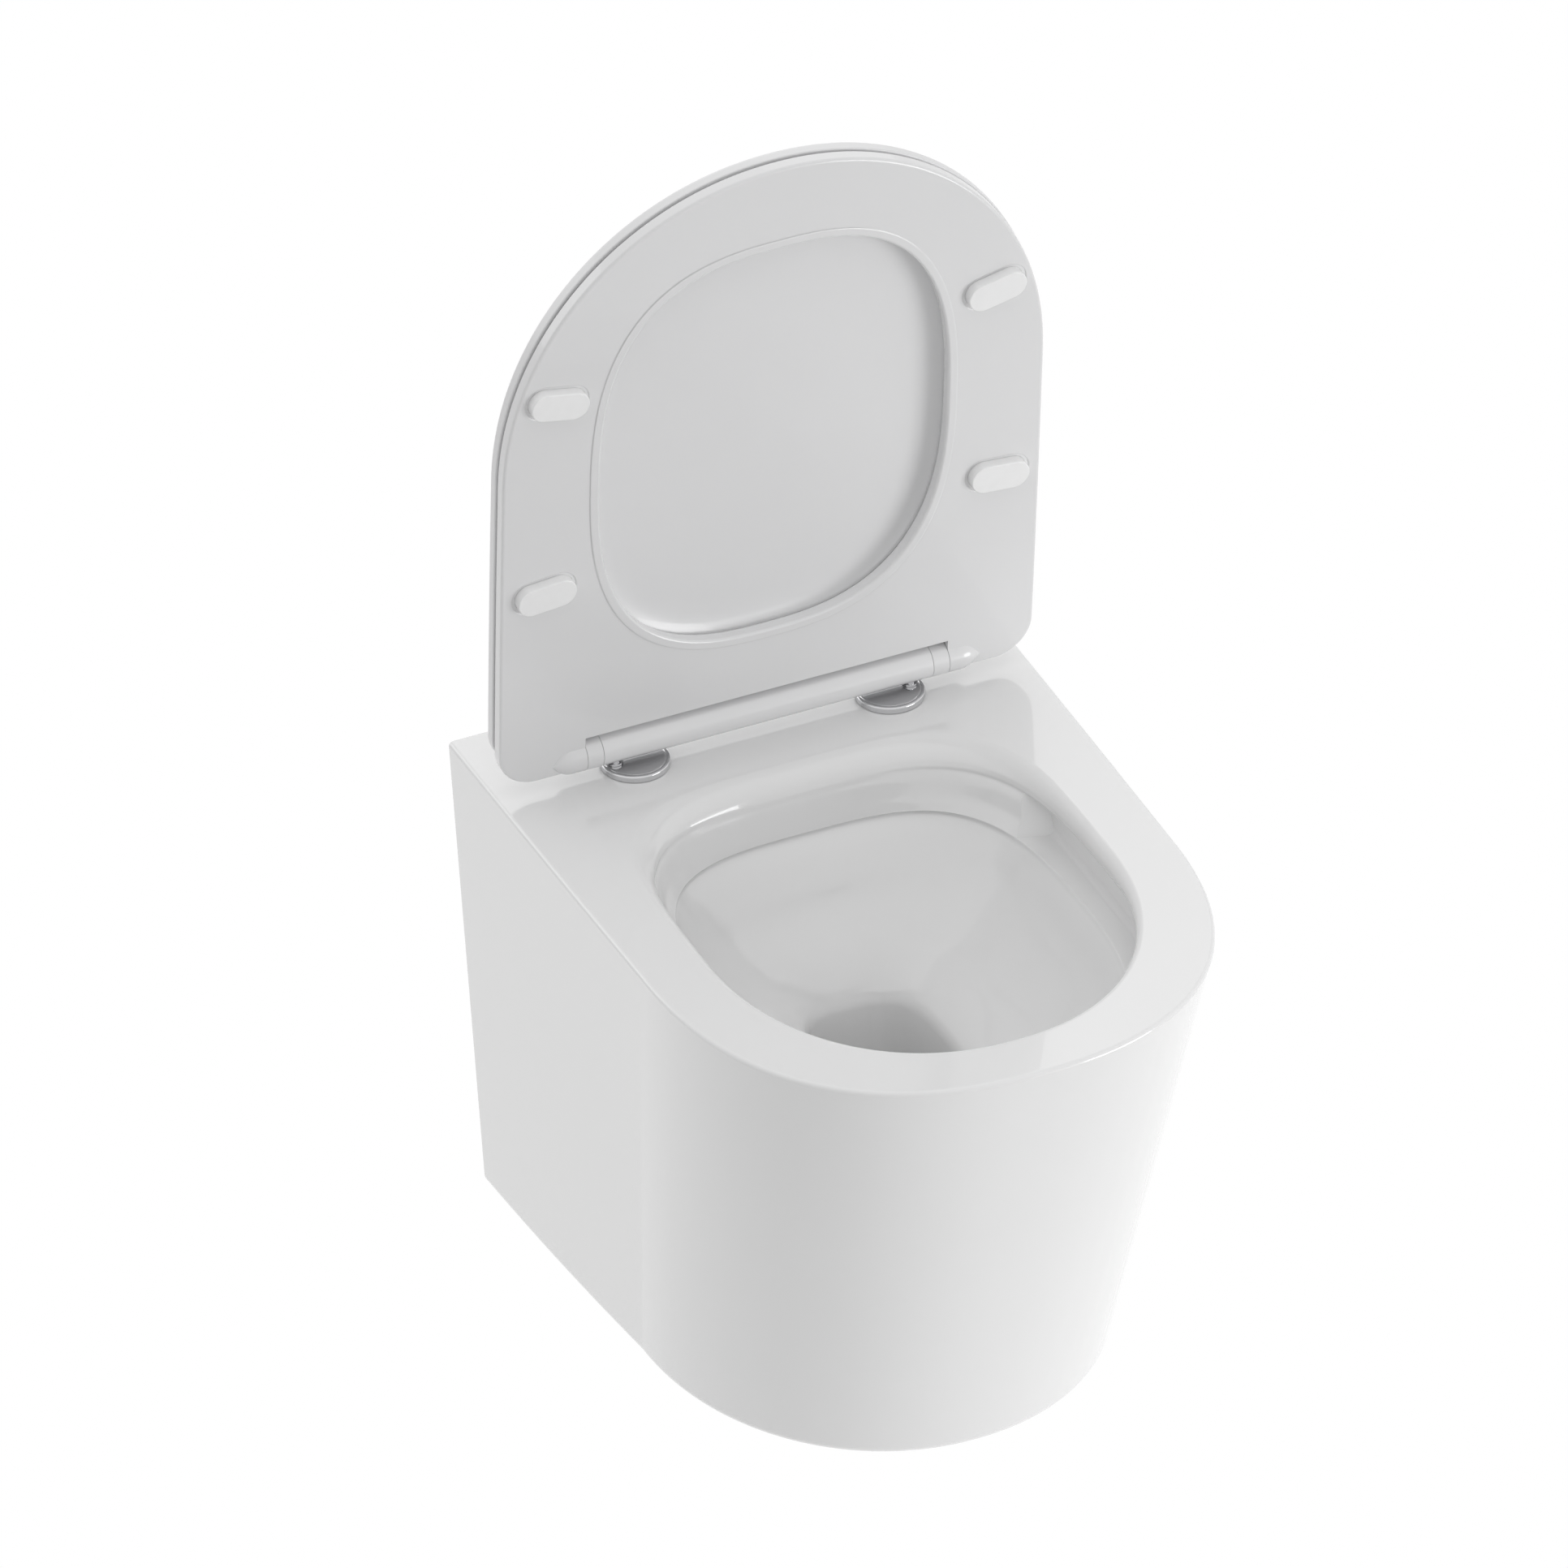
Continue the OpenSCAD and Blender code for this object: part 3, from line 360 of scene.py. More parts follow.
# z, then how far the rear, the front and the sides lie in from the opening, then nr and nf
BOWL_ROWS = [
    (0.03, -12.0, 4.6, -9.0, 4.0, 2.15),
    (-0.12, -7.5, 5.8, -7.6, 4.0, 2.15),
    (-0.35, -6.1, 6.8, -6.7, 4.0, 2.15),
    (-1.0, -3.75, 7.7, -5.3, 3.95, 2.15),
    (-2.0, -1.5, 8.3, -4.0, 3.9, 2.15),
    (-3.4, 0.7, 8.4, -2.9, 3.8, 2.15),
    (-5.2, 2.7, 8.0, -2.0, 3.7, 2.16),
    (-7, 4.25, 7.0, -1.6, 3.6, 2.18),
    (-8.8, 5.4, 5.4, -1.6, 3.5, 2.22),
    (-10.5, 6.2, 3.2, -1.9, 3.45, 2.26),
    (-12.6, 7.0, 0.2, -2.5, 3.4, 2.3),
    (-14.5, 7.7, -0.8, -3.1, 3.4, 2.3),
    (-17, 8.5, -0.6, -1.4, 3.4, 2.3),
    (-20, 9.6, 0.5, 0.0, 3.4, 2.3),
    (-24.5, 11.1, 1.0, 1.4, 3.4, 2.3),
    (-29.5, 12.8, 1.5, 3.0, 3.4, 2.3),
    (-34, 14.3, 3.2, 5.8, 3.4, 2.3),
    (-37.6, 15.2, 5.1, 8.4, 3.4, 2.3),
    (-38.6, 15.4, 5.6, 9.2, 3.4, 2.3),
    (-39.5, 14.2, 5.9, 9.6, 3.4, 2.3),
    (-41.5, 14.0, 6.8, 10.4, 3.5, 2.3),
    (-44.5, 17.0, 8.0, 12.0, 3.6, 2.3),
    (-50.5, 22.5, 10, 15, 3.7, 2.3),
    (-65, 31.5, 17, 22, 3.6, 2.3),
    (-80, 39.5, 28, 33, 3.4, 2.3),
    (-100, 55, 46, 53, 3.4, 2.4),
    (-110, 62.5, 60, 68, 3.5, 2.5),
    (-118.5, 68.5, 75, 80.5, 3.7, 2.55),
    (-123, 71.5, 85, 86, 3.8, 2.6),
    (-127, 74, 92, 89, 3.8, 2.6),
    (-134, 77, 98.5, 91.1, 3.8, 2.6),
    (-200, 86, 125, 92, 3.4, 2.6),
]

# The trap: the water turns under the tongue, whose tip lies WATER_SEAL below the weir, then over
# the crest
PIPE_R = OUTLET_R - PIPE_T
WEIR_Z = OUTLET_Z - PIPE_R
WATER_SEAL = 50.0
TONGUE_R, TONGUE_D = 6.0, BOWL_REAR + 81
TONGUE_Z = WEIR_Z - WATER_SEAL + TONGUE_R
CREST_R, CREST_D = 15.0, 123.0
CREST_Z = WEIR_Z - CREST_R
# distance across the way in the well, under the tongue and over the crest, and half its width
WELL_LONG, UNDER_GAP, THROAT = 86.0, 50.0, 55.0
WELL_HALF, THROAT_HALF = 38.0, 30.0
# degrees from ring to ring, and D where the pipe runs level and where its cut ends behind the wall
TURN_STEP, PIPE_START, PIPE_END = 9, 60, -6
# where the bowl is widest, as a share of the way from rear to front, and the row that ends the well
WIDEST = 0.51
WELL_ROW = (TONGUE_Z + 26, 87, 142, 92, 3, 2.6)


def level_ring(z, rear_in, front_in, side_in, nr, nf):
    """A level ring at height z, by how far it lies in from the opening of the bowl."""
    return bowl_ring((BOWL_REAR + rear_in, z), (BOWL_FRONT - front_in, z),
                     BOWL_A - side_in, nr, nf, WIDEST)


def tongue_ring(t):
    """A ring across the way under the tongue, t degrees round it."""
    width = mix(WELL_LONG, UNDER_GAP, t / 90) if t < 90 else mix(UNDER_GAP, THROAT, (t - 90) / 90)
    c, s = math.cos(math.radians(t)), math.sin(math.radians(t))
    u = min(t, 90) / 90
    return bowl_ring((TONGUE_D + TONGUE_R * c, TONGUE_Z - TONGUE_R * s),
                     (TONGUE_D + (TONGUE_R + width) * c, TONGUE_Z - (TONGUE_R + width) * s),
                     mix(WELL_HALF, THROAT_HALF, u), mix(2.8, 2.2, u), mix(2.6, 2.2, u))


def weir_ring(t):
    """A ring across the way over the weir, t degrees round it."""
    u = (180 - t) / 90
    width = mix(THROAT, 2 * PIPE_R, u)
    c, s = math.cos(math.radians(t)), math.sin(math.radians(t))
    return bowl_ring((CREST_D - (CREST_R + width) * c, CREST_Z + (CREST_R + width) * s),
                     (CREST_D - CREST_R * c, CREST_Z + CREST_R * s),
                     mix(THROAT_HALF, PIPE_R, u), mix(2.2, 2, u), mix(2.2, 2, u))


def outlet_ring(d):
    """A ring across the spigot at D = d."""
    return bowl_ring((d, OUTLET_Z + PIPE_R), (d, OUTLET_Z - PIPE_R), PIPE_R, 2, 2)


def waterway():
    """The bowl, the sump and the way under the tongue, over the weir and out of the spigot."""
    rows = through(BOWL_ROWS, 4)
    above = rows[0].copy()
    above[0] = 4.0
    rings = [level_ring(*r) for r in [above, *rows, WELL_ROW]]
    rings += [tongue_ring(t) for t in range(0, 181, TURN_STEP)]
    rings += [weir_ring(t) for t in range(180 - TURN_STEP, 89, -TURN_STEP)]
    rings += [outlet_ring(PIPE_START), outlet_ring(PIPE_END)]
    return skin("waterway", rings)


# z, rear depth, front depth, half width, nr, nf of the ceramic round the bowl and the trap
SHELL_ROWS = [
    (-6, 104, 466, 150, 4, 2.3), (-22, 106, 462, 150, 4, 2.3), (-40, 117, 451, 147, 3.8, 2.3),
    (-52, 134, 444, 128, 3.5, 2.3), (-80, 149, 427, 110, 3.2, 2.3), (-102, 163, 409, 91, 3.2, 2.4),
    (-118, 170, 389, 74, 3.2, 2.5), (-127, 145, 369, 64, 3.2, 2.6), (-136, 127, 357, 57, 3.2, 2.6),
    (-150, 121, 351, 56, 3.2, 2.6), (-200, 121, 328, 56, 3, 2.6),
    (CREST_Z - 2, 124, 313, 52, 3, 2.6), (TONGUE_Z - 6, 127, 300, 49, 2.8, 2.5),
    (TONGUE_Z - 30, 136, 291, 46, 2.6, 2.4), (TONGUE_Z - 50, 153, 271, 40, 2.5, 2.3),
    (-PAN_H + 6.5, 175, 233, 26, 2.4, 2.3),
]


def bowl_shell():
    """The ceramic round the bowl and the trap, still without the waterway in it."""
    return skin("shell", [bowl_ring((rear, z), (front, z), a, nr, nf)
                          for z, rear, front, a, nr, nf in through(SHELL_ROWS, 3)])


# The flush channel under the rim, from a slanted face at each rear corner round to the front
CHANNEL_AT, CHANNEL_TOP = (121.5, -182.6, -12.6), -13.8
CHANNEL_SLOPE, CHANNEL_TURN = math.radians(26.4), math.radians(20)
# half the side of a cutting block that reaches past everything
BEYOND = 900.0


def flush_channel():
    """The hollow of the channel: a ring undercut in the bowl's side, cut off at the slanted faces.
    The rows are z, how far the rear, the front and the sides lie in from the opening, and nr."""
    f, c, top = CHANNEL / 2, CHANNEL, CHANNEL_TOP
    rows = [(-SHELF, 27.5, 6, 11, 6), (-SHELF, 24.5, 2 - f, 5 - c, 6),
            (-SHELF + 0.45, 23.7, 1.2 - f, 3.2 - c, 6), (-SHELF + 1.5, 22.5, 0.5 - f, 1.5 - c, 6),
            (-SHELF + 3, 21.5, 0.1 - f, 0.4 - c, 6), (-SHELF + 5, 20.5, -f, -c, 6),
            (-28, 19, -f, -c, 6), (top - 3.3, 17.5, -f, -c, 6),
            (top - 2.0, 16, 0.2 - f, 0.4 - c, 6), (top - 1.0, 14.5, 0.6 - f, 1.2 - c, 6),
            (top - 0.5, 13.5, 2.0 - f, 4.4 - c, 5.5), (top, 12.5, 4, 3, 5)]
    ob = skin("channel", [level_ring(*r, 2.3) for r in rows])
    steps = []
    for s in (-1, 1):
        front = block("front", (-BEYOND, -BEYOND, 0), (BEYOND, BEYOND, BEYOND))
        turn = (Matrix.Rotation(-math.pi / 2 - CHANNEL_TURN, 4, "Z")
                @ Matrix.Rotation(math.pi / 2 - CHANNEL_SLOPE, 4, "Y"))
        steps.append(("INTERSECT", mirrored(move(front, shift(*CHANNEL_AT) @ turn), s)))
    return cut_and_join(ob, steps)


# The flush chamber behind the bowl, as two corners, and the port from it to the channel
CHAMBER = ((-116.0, -126.0, -60.0), (30.0, -102.0, -31.0))
PORT_W, PORT_H, PORT_L = 11.0, 12.0, 90.0
PORT_AT, PORT_TURN = (-108.5, -114.0, -SHELF + 9), math.radians(-18.7)


def flush_port(grow):
    """The way from the flush chamber to the channel, or with grow the ceramic round it."""
    long = PORT_L - 2 * grow
    w, h = PORT_W / 2 + grow, PORT_H / 2 + grow
    place = shift(*PORT_AT) @ Matrix.Rotation(PORT_TURN, 4, "Z")
    return move(block("port", (-w, -long, -h), (w, 0, h)), place)


def back_window():
    """The arched opening in the back, round the waste spigot."""
    side, sill = WINDOW_R - WINDOW_CORNER, -PAN_H + WINDOW_SILL + WINDOW_CORNER
    pts = arc(0, OUTLET_Z, WINDOW_R, math.pi, 0, 60)
    pts += arc(side, sill, WINDOW_CORNER, 0, -math.pi / 2, 12)
    pts += arc(-side, sill, WINDOW_CORNER, -math.pi / 2, -math.pi, 12)
    return skin("window", [[(x, -d, z) for x, z in pts] for d in (-1.0, BACK_T + 1)])


def build_pan():
    pan = skirt_body()
    lo, hi = CHAMBER
    steps = [
        ("DIFFERENCE", skirt_hollow()),
        ("DIFFERENCE", back_window()),
        ("UNION", bowl_shell()),
        ("UNION", rod("spigot", OUTLET_R, 0, OUTLET_Z, 5, SPIGOT_L)),
        ("UNION", rod("shoulder", SHOULDER_R, 0, OUTLET_Z, SPIGOT_L - 0.1, SHOULDER_L)),
        ("UNION", rod("horn", INLET_R + HORN_T, 0, INLET_Z, 0.5, HORN_L)),
        ("UNION", block("chamber", [v - CHAMBER_T for v in lo], [v + CHAMBER_T for v in hi])),
        ("UNION", rod("boss", BOSS_R, -FIX_X, -DECK_Z, 0.5, BOSS_T)),
        ("UNION", rod("boss", BOSS_R, FIX_X, -DECK_Z, 0.5, BOSS_T)),
        ("UNION", flush_port(PORT_T)),
        ("DIFFERENCE", waterway()),
        ("DIFFERENCE", flush_channel()),
        ("DIFFERENCE", rod("inlet", INLET_R - 0.1, 0, INLET_Z, -1, HORN_L + 1)),
        ("DIFFERENCE", block("chamber", lo, hi)),
        ("DIFFERENCE", flush_port(0)),
    ]
    for s in (-1, 1):
        steps.append(("DIFFERENCE", rod("fixing", FIX_HOLE_R, s * FIX_X, -DECK_Z, -1, BOSS_T + 1)))
        hole = plug("deck_hole", DECK_HOLE_R, -DECK_T - 1, 1, 96)
        steps.append(("DIFFERENCE", move(hole, shift(s * SEAT_BOLT_X, -HINGE_D, 0))))
    cut_and_join(pan, steps)
    move(pan, shift(0, 0, DECK_Z))
    smooth(pan, PAN_CREASE)
    finish(pan, "pan", "pan", "glazed_white")


# Seat and lid
RAISED = shift(0, -HINGE_D, DECK_Z + HINGE_Z) @ Matrix.Rotation(-(math.pi / 2 - LEAN), 4, "X")


def plate_outline(half, length, back, corner):
    """The D of the seat or the lid, from the middle of its rear edge."""
    cx, cy = half - SIDE_BOW - corner, back - corner
    pts = arc(cx, cy, corner, math.pi / 2, 0, 20, end=False)
    for u in np.linspace(0, 1, 30, endpoint=False):
        pts.append((half - SIDE_BOW * (1 - u) ** 2, mix(cy, -SEAT_STRAIGHT, u)))
    t = np.linspace(0, math.pi / 2, FINE)
    e = 2 / SEAT_POWER
    nose = np.stack([half * np.cos(t) ** e,
                     -SEAT_STRAIGHT - (length - SEAT_STRAIGHT) * np.sin(t) ** e], axis=1)
    pts += [tuple(p) for p in spaced(nose, ARC)]
    rear = [(x, back) for x in np.linspace(0, cx, 24, endpoint=False)]
    half_loop = rear + pts + [(0.0, -length)]
    return np.array(half_loop + [(-x, y) for x, y in half_loop[-2:0:-1]])


# The middle of the seat's opening
MIDDLE = np.array([0.0, -HOLE_MID])


def inward(outline, s):
    """Every point moved by s towards the middle of the seat's opening."""
    v = MIDDLE - outline
    return outline + v * (s / np.linalg.norm(v, axis=1))[:, None]


def hole_edge(outline):
    """The edge of the seat's opening, with a point in line with each point of the outline."""
    v = outline - MIDDLE
    v = v / np.linalg.norm(v, axis=1)[:, None]
    n = HOLE_POWER
    r = ((np.abs(v[:, 0]) / HOLE_W) ** n + (np.abs(v[:, 1]) / HOLE_L) ** n) ** (-1 / n)
    return MIDDLE + v * r[:, None]


def bend(c, r0, r1, t0, t1, n):
    """Points of an elliptical corner about c, as (inset, height)."""
    return [(c[0] + r0 * math.cos(math.radians(t)), c[1] + r1 * math.sin(math.radians(t)))
            for t in np.linspace(t0, t1, n)]


def seat_profile():
    """(0 at the outline or 1 at the opening, inset, height) round the section of the seat."""
    b, t = SEAT_BOTTOM, SEAT_TOP
    out = [(0, i, z) for i, z in bend((2.2, b + 2), 2.2, 2, 180, 270, 8)]
    out += [(0, 3.4, b), (1, LIP_W + 3, b), (1, LIP_W + 1.2, b)]
    out += [(1, -i, z) for i, z in bend((-LIP_W - 0.1, b - 0.35), 1.0, 0.35, 110, 20, 4)]
    out += [(1, -i, z) for i, z in bend((-LIP_W + 1.6, b - LIP_H + 0.45), 1.2, 0.45, 200, 270, 6)]
    out += [(1, -i, z) for i, z in bend((-1.9, b - LIP_H + 1.9), 1.9, 1.9, 270, 360, 9)]
    out += [(1, -i, z) for i, z in bend((-4.2, t - 4), 4.2, 4, 0, 90, 12)]
    out += [(1, 5.4, t), (0, 5, t)]
    out += [(0, i, z) for i, z in bend((1.5, t - 1.4), 1.5, 1.4, 90, 180, 10)]
    return out


def fairing(x):
    """The pointed end of an ear: a round section shrinking to a point on the seat's underside."""
    turn = np.linspace(0, 2 * math.pi, 64, endpoint=False)
    rings = []
    for u in np.sin(np.linspace(0, math.pi / 2, 24)):
        part = max(1 - u * u, 0.002)
        rings.append([(x + u * FAIRING_L, part * BAR_R * math.cos(t),
                       SEAT_BOTTOM * (1 - part) + part * BAR_R * math.sin(t)) for t in turn])
    return skin("fairing", rings)


def stadium(w, length):
    """Two half circles joined by straight sides."""
    r, half = w / 2, (length - w) / 2
    return np.array(arc(half, 0, r, -math.pi / 2, math.pi / 2, 24)
                    + arc(-half, 0, r, math.pi / 2, 3 * math.pi / 2, 24))


def at_buffer(b, s):
    """Where a buffer sits on the underside of the closed seat."""
    return shift(s * b[0], -b[1], 0) @ Matrix.Rotation(math.radians(s * b[2]), 4, "Z")


def stadium_body(name, w, length, levels):
    """A stadium skinned through (height, inset) levels."""
    return skin(name, [[(x, y, z) for x, y in stadium(w - 2 * i, length - 2 * i)]
                       for z, i in levels])


def plate_rings(outline, profile):
    """Rings through the profile, each measured from the outline or from the opening's edge."""
    opening = hole_edge(outline)
    rings = []
    for from_opening, inset, z in profile:
        line = inward(opening, -inset) if from_opening else inward(outline, inset)
        rings.append(np.column_stack([line, np.full(len(line), z)]))
    return rings


def build_seat():
    rings = plate_rings(plate_outline(SEAT_HALF, SEAT_L, SEAT_REAR, SEAT_CORNER), seat_profile())
    seat = skin("seat_shell", rings, loop=True)
    x0, x1 = SEAT_EAR
    b, w = SEAT_BOTTOM, RECESS_W
    pocket = [(b - 3, -w - 0.9), (b - 0.02, -w - 0.9), (b + 0.12, -w - 0.35), (b + 0.4, -w),
              (b + RECESS_H, -w), (b + RECESS_H, -0.1), (b + BUFFER_SINK, -0.1)]
    steps = [("DIFFERENCE", block("notch", (-x0, -NOTCH, -20), (x0, NOTCH_REAR, 20)))]
    for s in (-1, 1):
        steps.append(("UNION", mirrored(xrod("ear", BAR_R, x0, x1 + 0.05), s)))
        steps.append(("UNION", mirrored(fairing(x1), s)))
    for s in (-1, 1):
        steps.append(("DIFFERENCE", mirrored(xrod("bore", SHAFT_BORE_R, x0 - 1, x1), s)))
        for place in BUFFERS:
            groove = stadium_body("pocket", BUFFER_W, BUFFER_L, pocket)
            steps.append(("DIFFERENCE", move(groove, at_buffer(place, s))))
    cut_and_join(seat, steps)
    move(seat, RAISED)
    smooth(seat, PLATE_CREASE)
    finish(seat, "seat_ring", "seat", "gloss_white", "gloss_plate")


def build_buffers():
    top = SEAT_BOTTOM - BUFFER_H
    foot = SEAT_BOTTOM + BUFFER_SINK - 0.1
    levels = [(foot, 0.0), (top + BUFFER_EDGE, 0.0)]
    levels += [(top + BUFFER_EDGE - BUFFER_EDGE * math.sin(t), BUFFER_EDGE * (1 - math.cos(t)))
               for t in np.linspace(0, math.pi / 2, 7)[1:]]
    levels.append((top, 2 * BUFFER_EDGE))
    for place, b in zip(("front", "rear"), BUFFERS):
        for side, s in (("left", -1), ("right", 1)):
            name = f"buffer_{place}_{side}"
            ob = stadium_body(name, BUFFER_W, BUFFER_L, levels)
            move(ob, RAISED @ at_buffer(b, s))
            smooth(ob, SMALL_CREASE)
            finish(ob, f"seat_buffer_{place}_{side}", "seat", "buffer")


# (out from the seat's opening, share of the dish's depth) across the cove in the lid's inner face
COVE = ((-34, 0.98), (-24, 0.955), (-14, 0.9), (-8.5, 0.8), (-4, 0.6), (-0.5, 0.32), (1.6, 0.1),
        (3.2, 0.0))


def lid_profile():
    """(0 at the outline or 1 at the opening, inset, height) from the middle of the inner face,
    dished inside the seat's opening, to the middle of the outer face."""
    b, t = LID_BOTTOM, LID_TOP
    rows = [(1, -75, b + DISH), (1, -50, b + DISH)]
    rows += [(1, i, b + DISH * h) for i, h in through(COVE, 4)]
    rows += [(1, 5.0, b), (0, 5.0, b)]
    rows += [(0, i, z) for i, z in bend((0.9, b + 0.9), 0.9, 0.9, 270, 180, 8)]
    rows += [(0, i, z) for i, z in bend((4.2, t - 3.6), 4.2, 3.6, 180, 90, 12)]
    rows.append((0, 6.5, t))
    return rows


def build_lid():
    outline = plate_outline(SEAT_HALF + LID_OVER, SEAT_L + LID_OVER, LID_BACK, LID_CORNER)
    rings = plate_rings(outline, lid_profile())
    lid = skin("lid_shell", rings)
    x0, x1 = LID_EAR
    notch = block("notch", (-LID_NOTCH, -NOTCH, -20), (LID_NOTCH, NOTCH_REAR, 30))
    steps = [("DIFFERENCE", notch)]
    for s in (-1, 1):
        web = block("web", (x0, -NOTCH - 4, LID_BOTTOM), (x1, 0, LID_TOP - 2))
        steps.append(("UNION", mirrored(xrod("ear", BAR_R, x0, x1), s)))
        steps.append(("UNION", mirrored(web, s)))
    for s in (-1, 1):
        steps.append(("DIFFERENCE", mirrored(xrod("bore", SHAFT_BORE_R, x0 - 1, x1 + 1), s)))
        hole = plug("hole", LID_BUFFER_R, LID_BOTTOM - 1, LID_BOTTOM + 4, 48)
        steps.append(("DIFFERENCE", move(hole, shift(s * LID_BUFFER_X, -LID_BUFFER_D, 0))))
    cut_and_join(lid, steps)
    move(lid, RAISED)
    smooth(lid, PLATE_CREASE)
    finish(lid, "lid", "lid", "gloss_white", "satin_plate")


# Chrome discs
def build_discs():
    r, h = DISC_R, DISC_H
    prof = [(r - 1.4, 0.3), (r - 0.2, 0.3), (r, 0.5), (r, h - 1.2)]
    prof += arc(r - DISC_EDGE, h - DISC_EDGE, DISC_EDGE, 0, math.pi / 2, 10)[1:]
    prof += [(r - 2.0, h), (r - 2.3, h - 0.25), (r - 2.7, h - 0.25), (r - 3.0, h - 0.08),
             (r - 3.6, h - 0.05), (ON_AXIS, h - 0.05), (ON_AXIS, h - 0.8), (r - 1.4, h - 0.8)]
    for side, s in (("left", -1), ("right", 1)):
        disc = lathe(f"disc_{side}", prof, 160)
        move(disc, shift(s * DISC_X, -HINGE_D, DECK_Z))
        hole = plug("hole", POST_R + POST_GAP, -1, h + 1, 64)
        move(hole, shift(s * POST_X, -HINGE_D, DECK_Z))
        cut_and_join(disc, [("DIFFERENCE", hole)])
        smooth(disc, SMALL_CREASE)
        finish(disc, f"cover_disc_{side}", "pan", "chrome")


# Materials: roughness of the coats, how far a roughness varies, and the grain's height in metres
COAT_ROUGH, SPREAD, GRAIN = 0.02, (0.85, 1.2), 0.0004


def material(name, base, rough, scale, tint, bump=0.0, coat=0.0, metallic=0.0, stretch=(1, 1, 1)):
    """A Principled material whose colour and roughness follow a fine noise."""
    mat = bpy.data.materials.new(name)
    mat.use_nodes = True
    nodes, links = mat.node_tree.nodes, mat.node_tree.links
    shader = nodes["Principled BSDF"]
    shader.inputs["Metallic"].default_value = metallic
    shader.inputs["Coat Weight"].default_value = coat
    shader.inputs["Coat Roughness"].default_value = COAT_ROUGH
    coords = nodes.new("ShaderNodeTexCoord")
    placed = nodes.new("ShaderNodeMapping")
    placed.inputs["Scale"].default_value = stretch
    links.new(coords.outputs["Object"], placed.inputs["Vector"])
    noise = nodes.new("ShaderNodeTexNoise")
    noise.inputs["Scale"].default_value = scale
    noise.inputs["Detail"].default_value = 4.0
    links.new(placed.outputs["Vector"], noise.inputs["Vector"])
    ramp = nodes.new("ShaderNodeValToRGB")
    ramp.color_ramp.elements[0].position = 0.3
    ramp.color_ramp.elements[1].position = 0.7
    ramp.color_ramp.elements[0].color = (*[c * (1 - tint) for c in base], 1)
    ramp.color_ramp.elements[1].color = (*base, 1)
    links.new(noise.outputs["Fac"], ramp.inputs["Fac"])
    links.new(ramp.outputs["Color"], shader.inputs["Base Color"])
    spread = nodes.new("ShaderNodeMapRange")
    spread.inputs["To Min"].default_value = rough * SPREAD[0]
    spread.inputs["To Max"].default_value = rough * SPREAD[1]
    links.new(noise.outputs["Fac"], spread.inputs["Value"])
    links.new(spread.outputs["Result"], shader.inputs["Roughness"])
    if bump:
        relief = nodes.new("ShaderNodeBump")
        relief.inputs["Strength"].default_value = bump
        relief.inputs["Distance"].default_value = GRAIN
        links.new(noise.outputs["Fac"], relief.inputs["Height"])
        links.new(relief.outputs["Normal"], shader.inputs["Normal"])
    return mat


MOULDED = {"scale": 11, "tint": 0.01, "bump": 0.006}
LOOKS = {
    "glazed_white": material("glaze", (0.84, 0.84, 0.84), 0.16, 7, 0.012, 0.012, coat=1.0),
    "gloss_white": material("moulded resin", (0.84, 0.84, 0.845), 0.2, coat=0.8, **MOULDED),
    "gloss_plate": material("moulded plate", (0.81, 0.81, 0.815), 0.24, coat=0.55, **MOULDED),
    "satin_plate": material("satin plate", (0.82, 0.82, 0.825), 0.34, coat=0.3, **MOULDED),
    "nylon": material("nylon", (0.78, 0.78, 0.75), 0.45, 90, 0.05, 0.15),
    "buffer": material("white elastomer", (0.96, 0.96, 0.96), 0.32, 140, 0.03, 0.1),
    "chrome": material("chrome", (0.64, 0.64, 0.65), 0.06, 60, 0.04, metallic=1.0),
    "steel": material("brushed steel", (0.55, 0.55, 0.57), 0.3, 60, 0.15, 0.1,
                      metallic=1.0, stretch=(12, 1, 1)),
    "rubber": material("black rubber", (0.03, 0.03, 0.032), 0.6, 220, 0.3, 0.3),
}


def dress():
    """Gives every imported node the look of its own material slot."""
    slots = {s["node"]: s["material_slot"] for s in frame["record"]["subparts"]}
    for node, ob in frame["nodes"].items():
        ob.data.materials.clear()
        ob.data.materials.append(LOOKS[slots[node]])
        ob.data.shade_smooth()
        ob.data.set_sharp_from_angle(angle=math.radians(CAD_CREASE))


build_pan()
build_seat()
build_lid()
build_buffers()
build_discs()
dress()


# Floor, light and camera
def seen_directly(nodes, links):
    """1 for what the camera sees, also in metal, gloss or glass, and 0 for light on the object."""
    ray = nodes.new("ShaderNodeLightPath")
    seen = ray.outputs["Is Camera Ray"]
    for kind in ("Is Glossy Ray", "Is Transmission Ray"):
        either = nodes.new("ShaderNodeMath")
        either.operation = "MAXIMUM"
        links.new(seen, either.inputs[0])
        links.new(ray.outputs[kind], either.inputs[1])
        seen = either.outputs["Value"]
    return seen


def white_for_camera(mat, bounce):
    """Pure white to the camera and in reflections, pale and matt to the light on the object."""
    mat.use_nodes = True
    nodes, links = mat.node_tree.nodes, mat.node_tree.links
    nodes.clear()
    out = nodes.new("ShaderNodeOutputMaterial")
    mixer = nodes.new("ShaderNodeMixShader")
    glow = nodes.new("ShaderNodeEmission")
    matt = nodes.new("ShaderNodeBsdfDiffuse")
    matt.inputs["Color"].default_value = (bounce, bounce, bounce, 1)
    links.new(seen_directly(nodes, links), mixer.inputs["Fac"])
    links.new(matt.outputs["BSDF"], mixer.inputs[1])
    links.new(glow.outputs["Emission"], mixer.inputs[2])
    links.new(mixer.outputs["Shader"], out.inputs["Surface"])


FLOOR_HALF, FLOOR_Z, FLOOR_TONE = 3.0, -0.75, 0.8


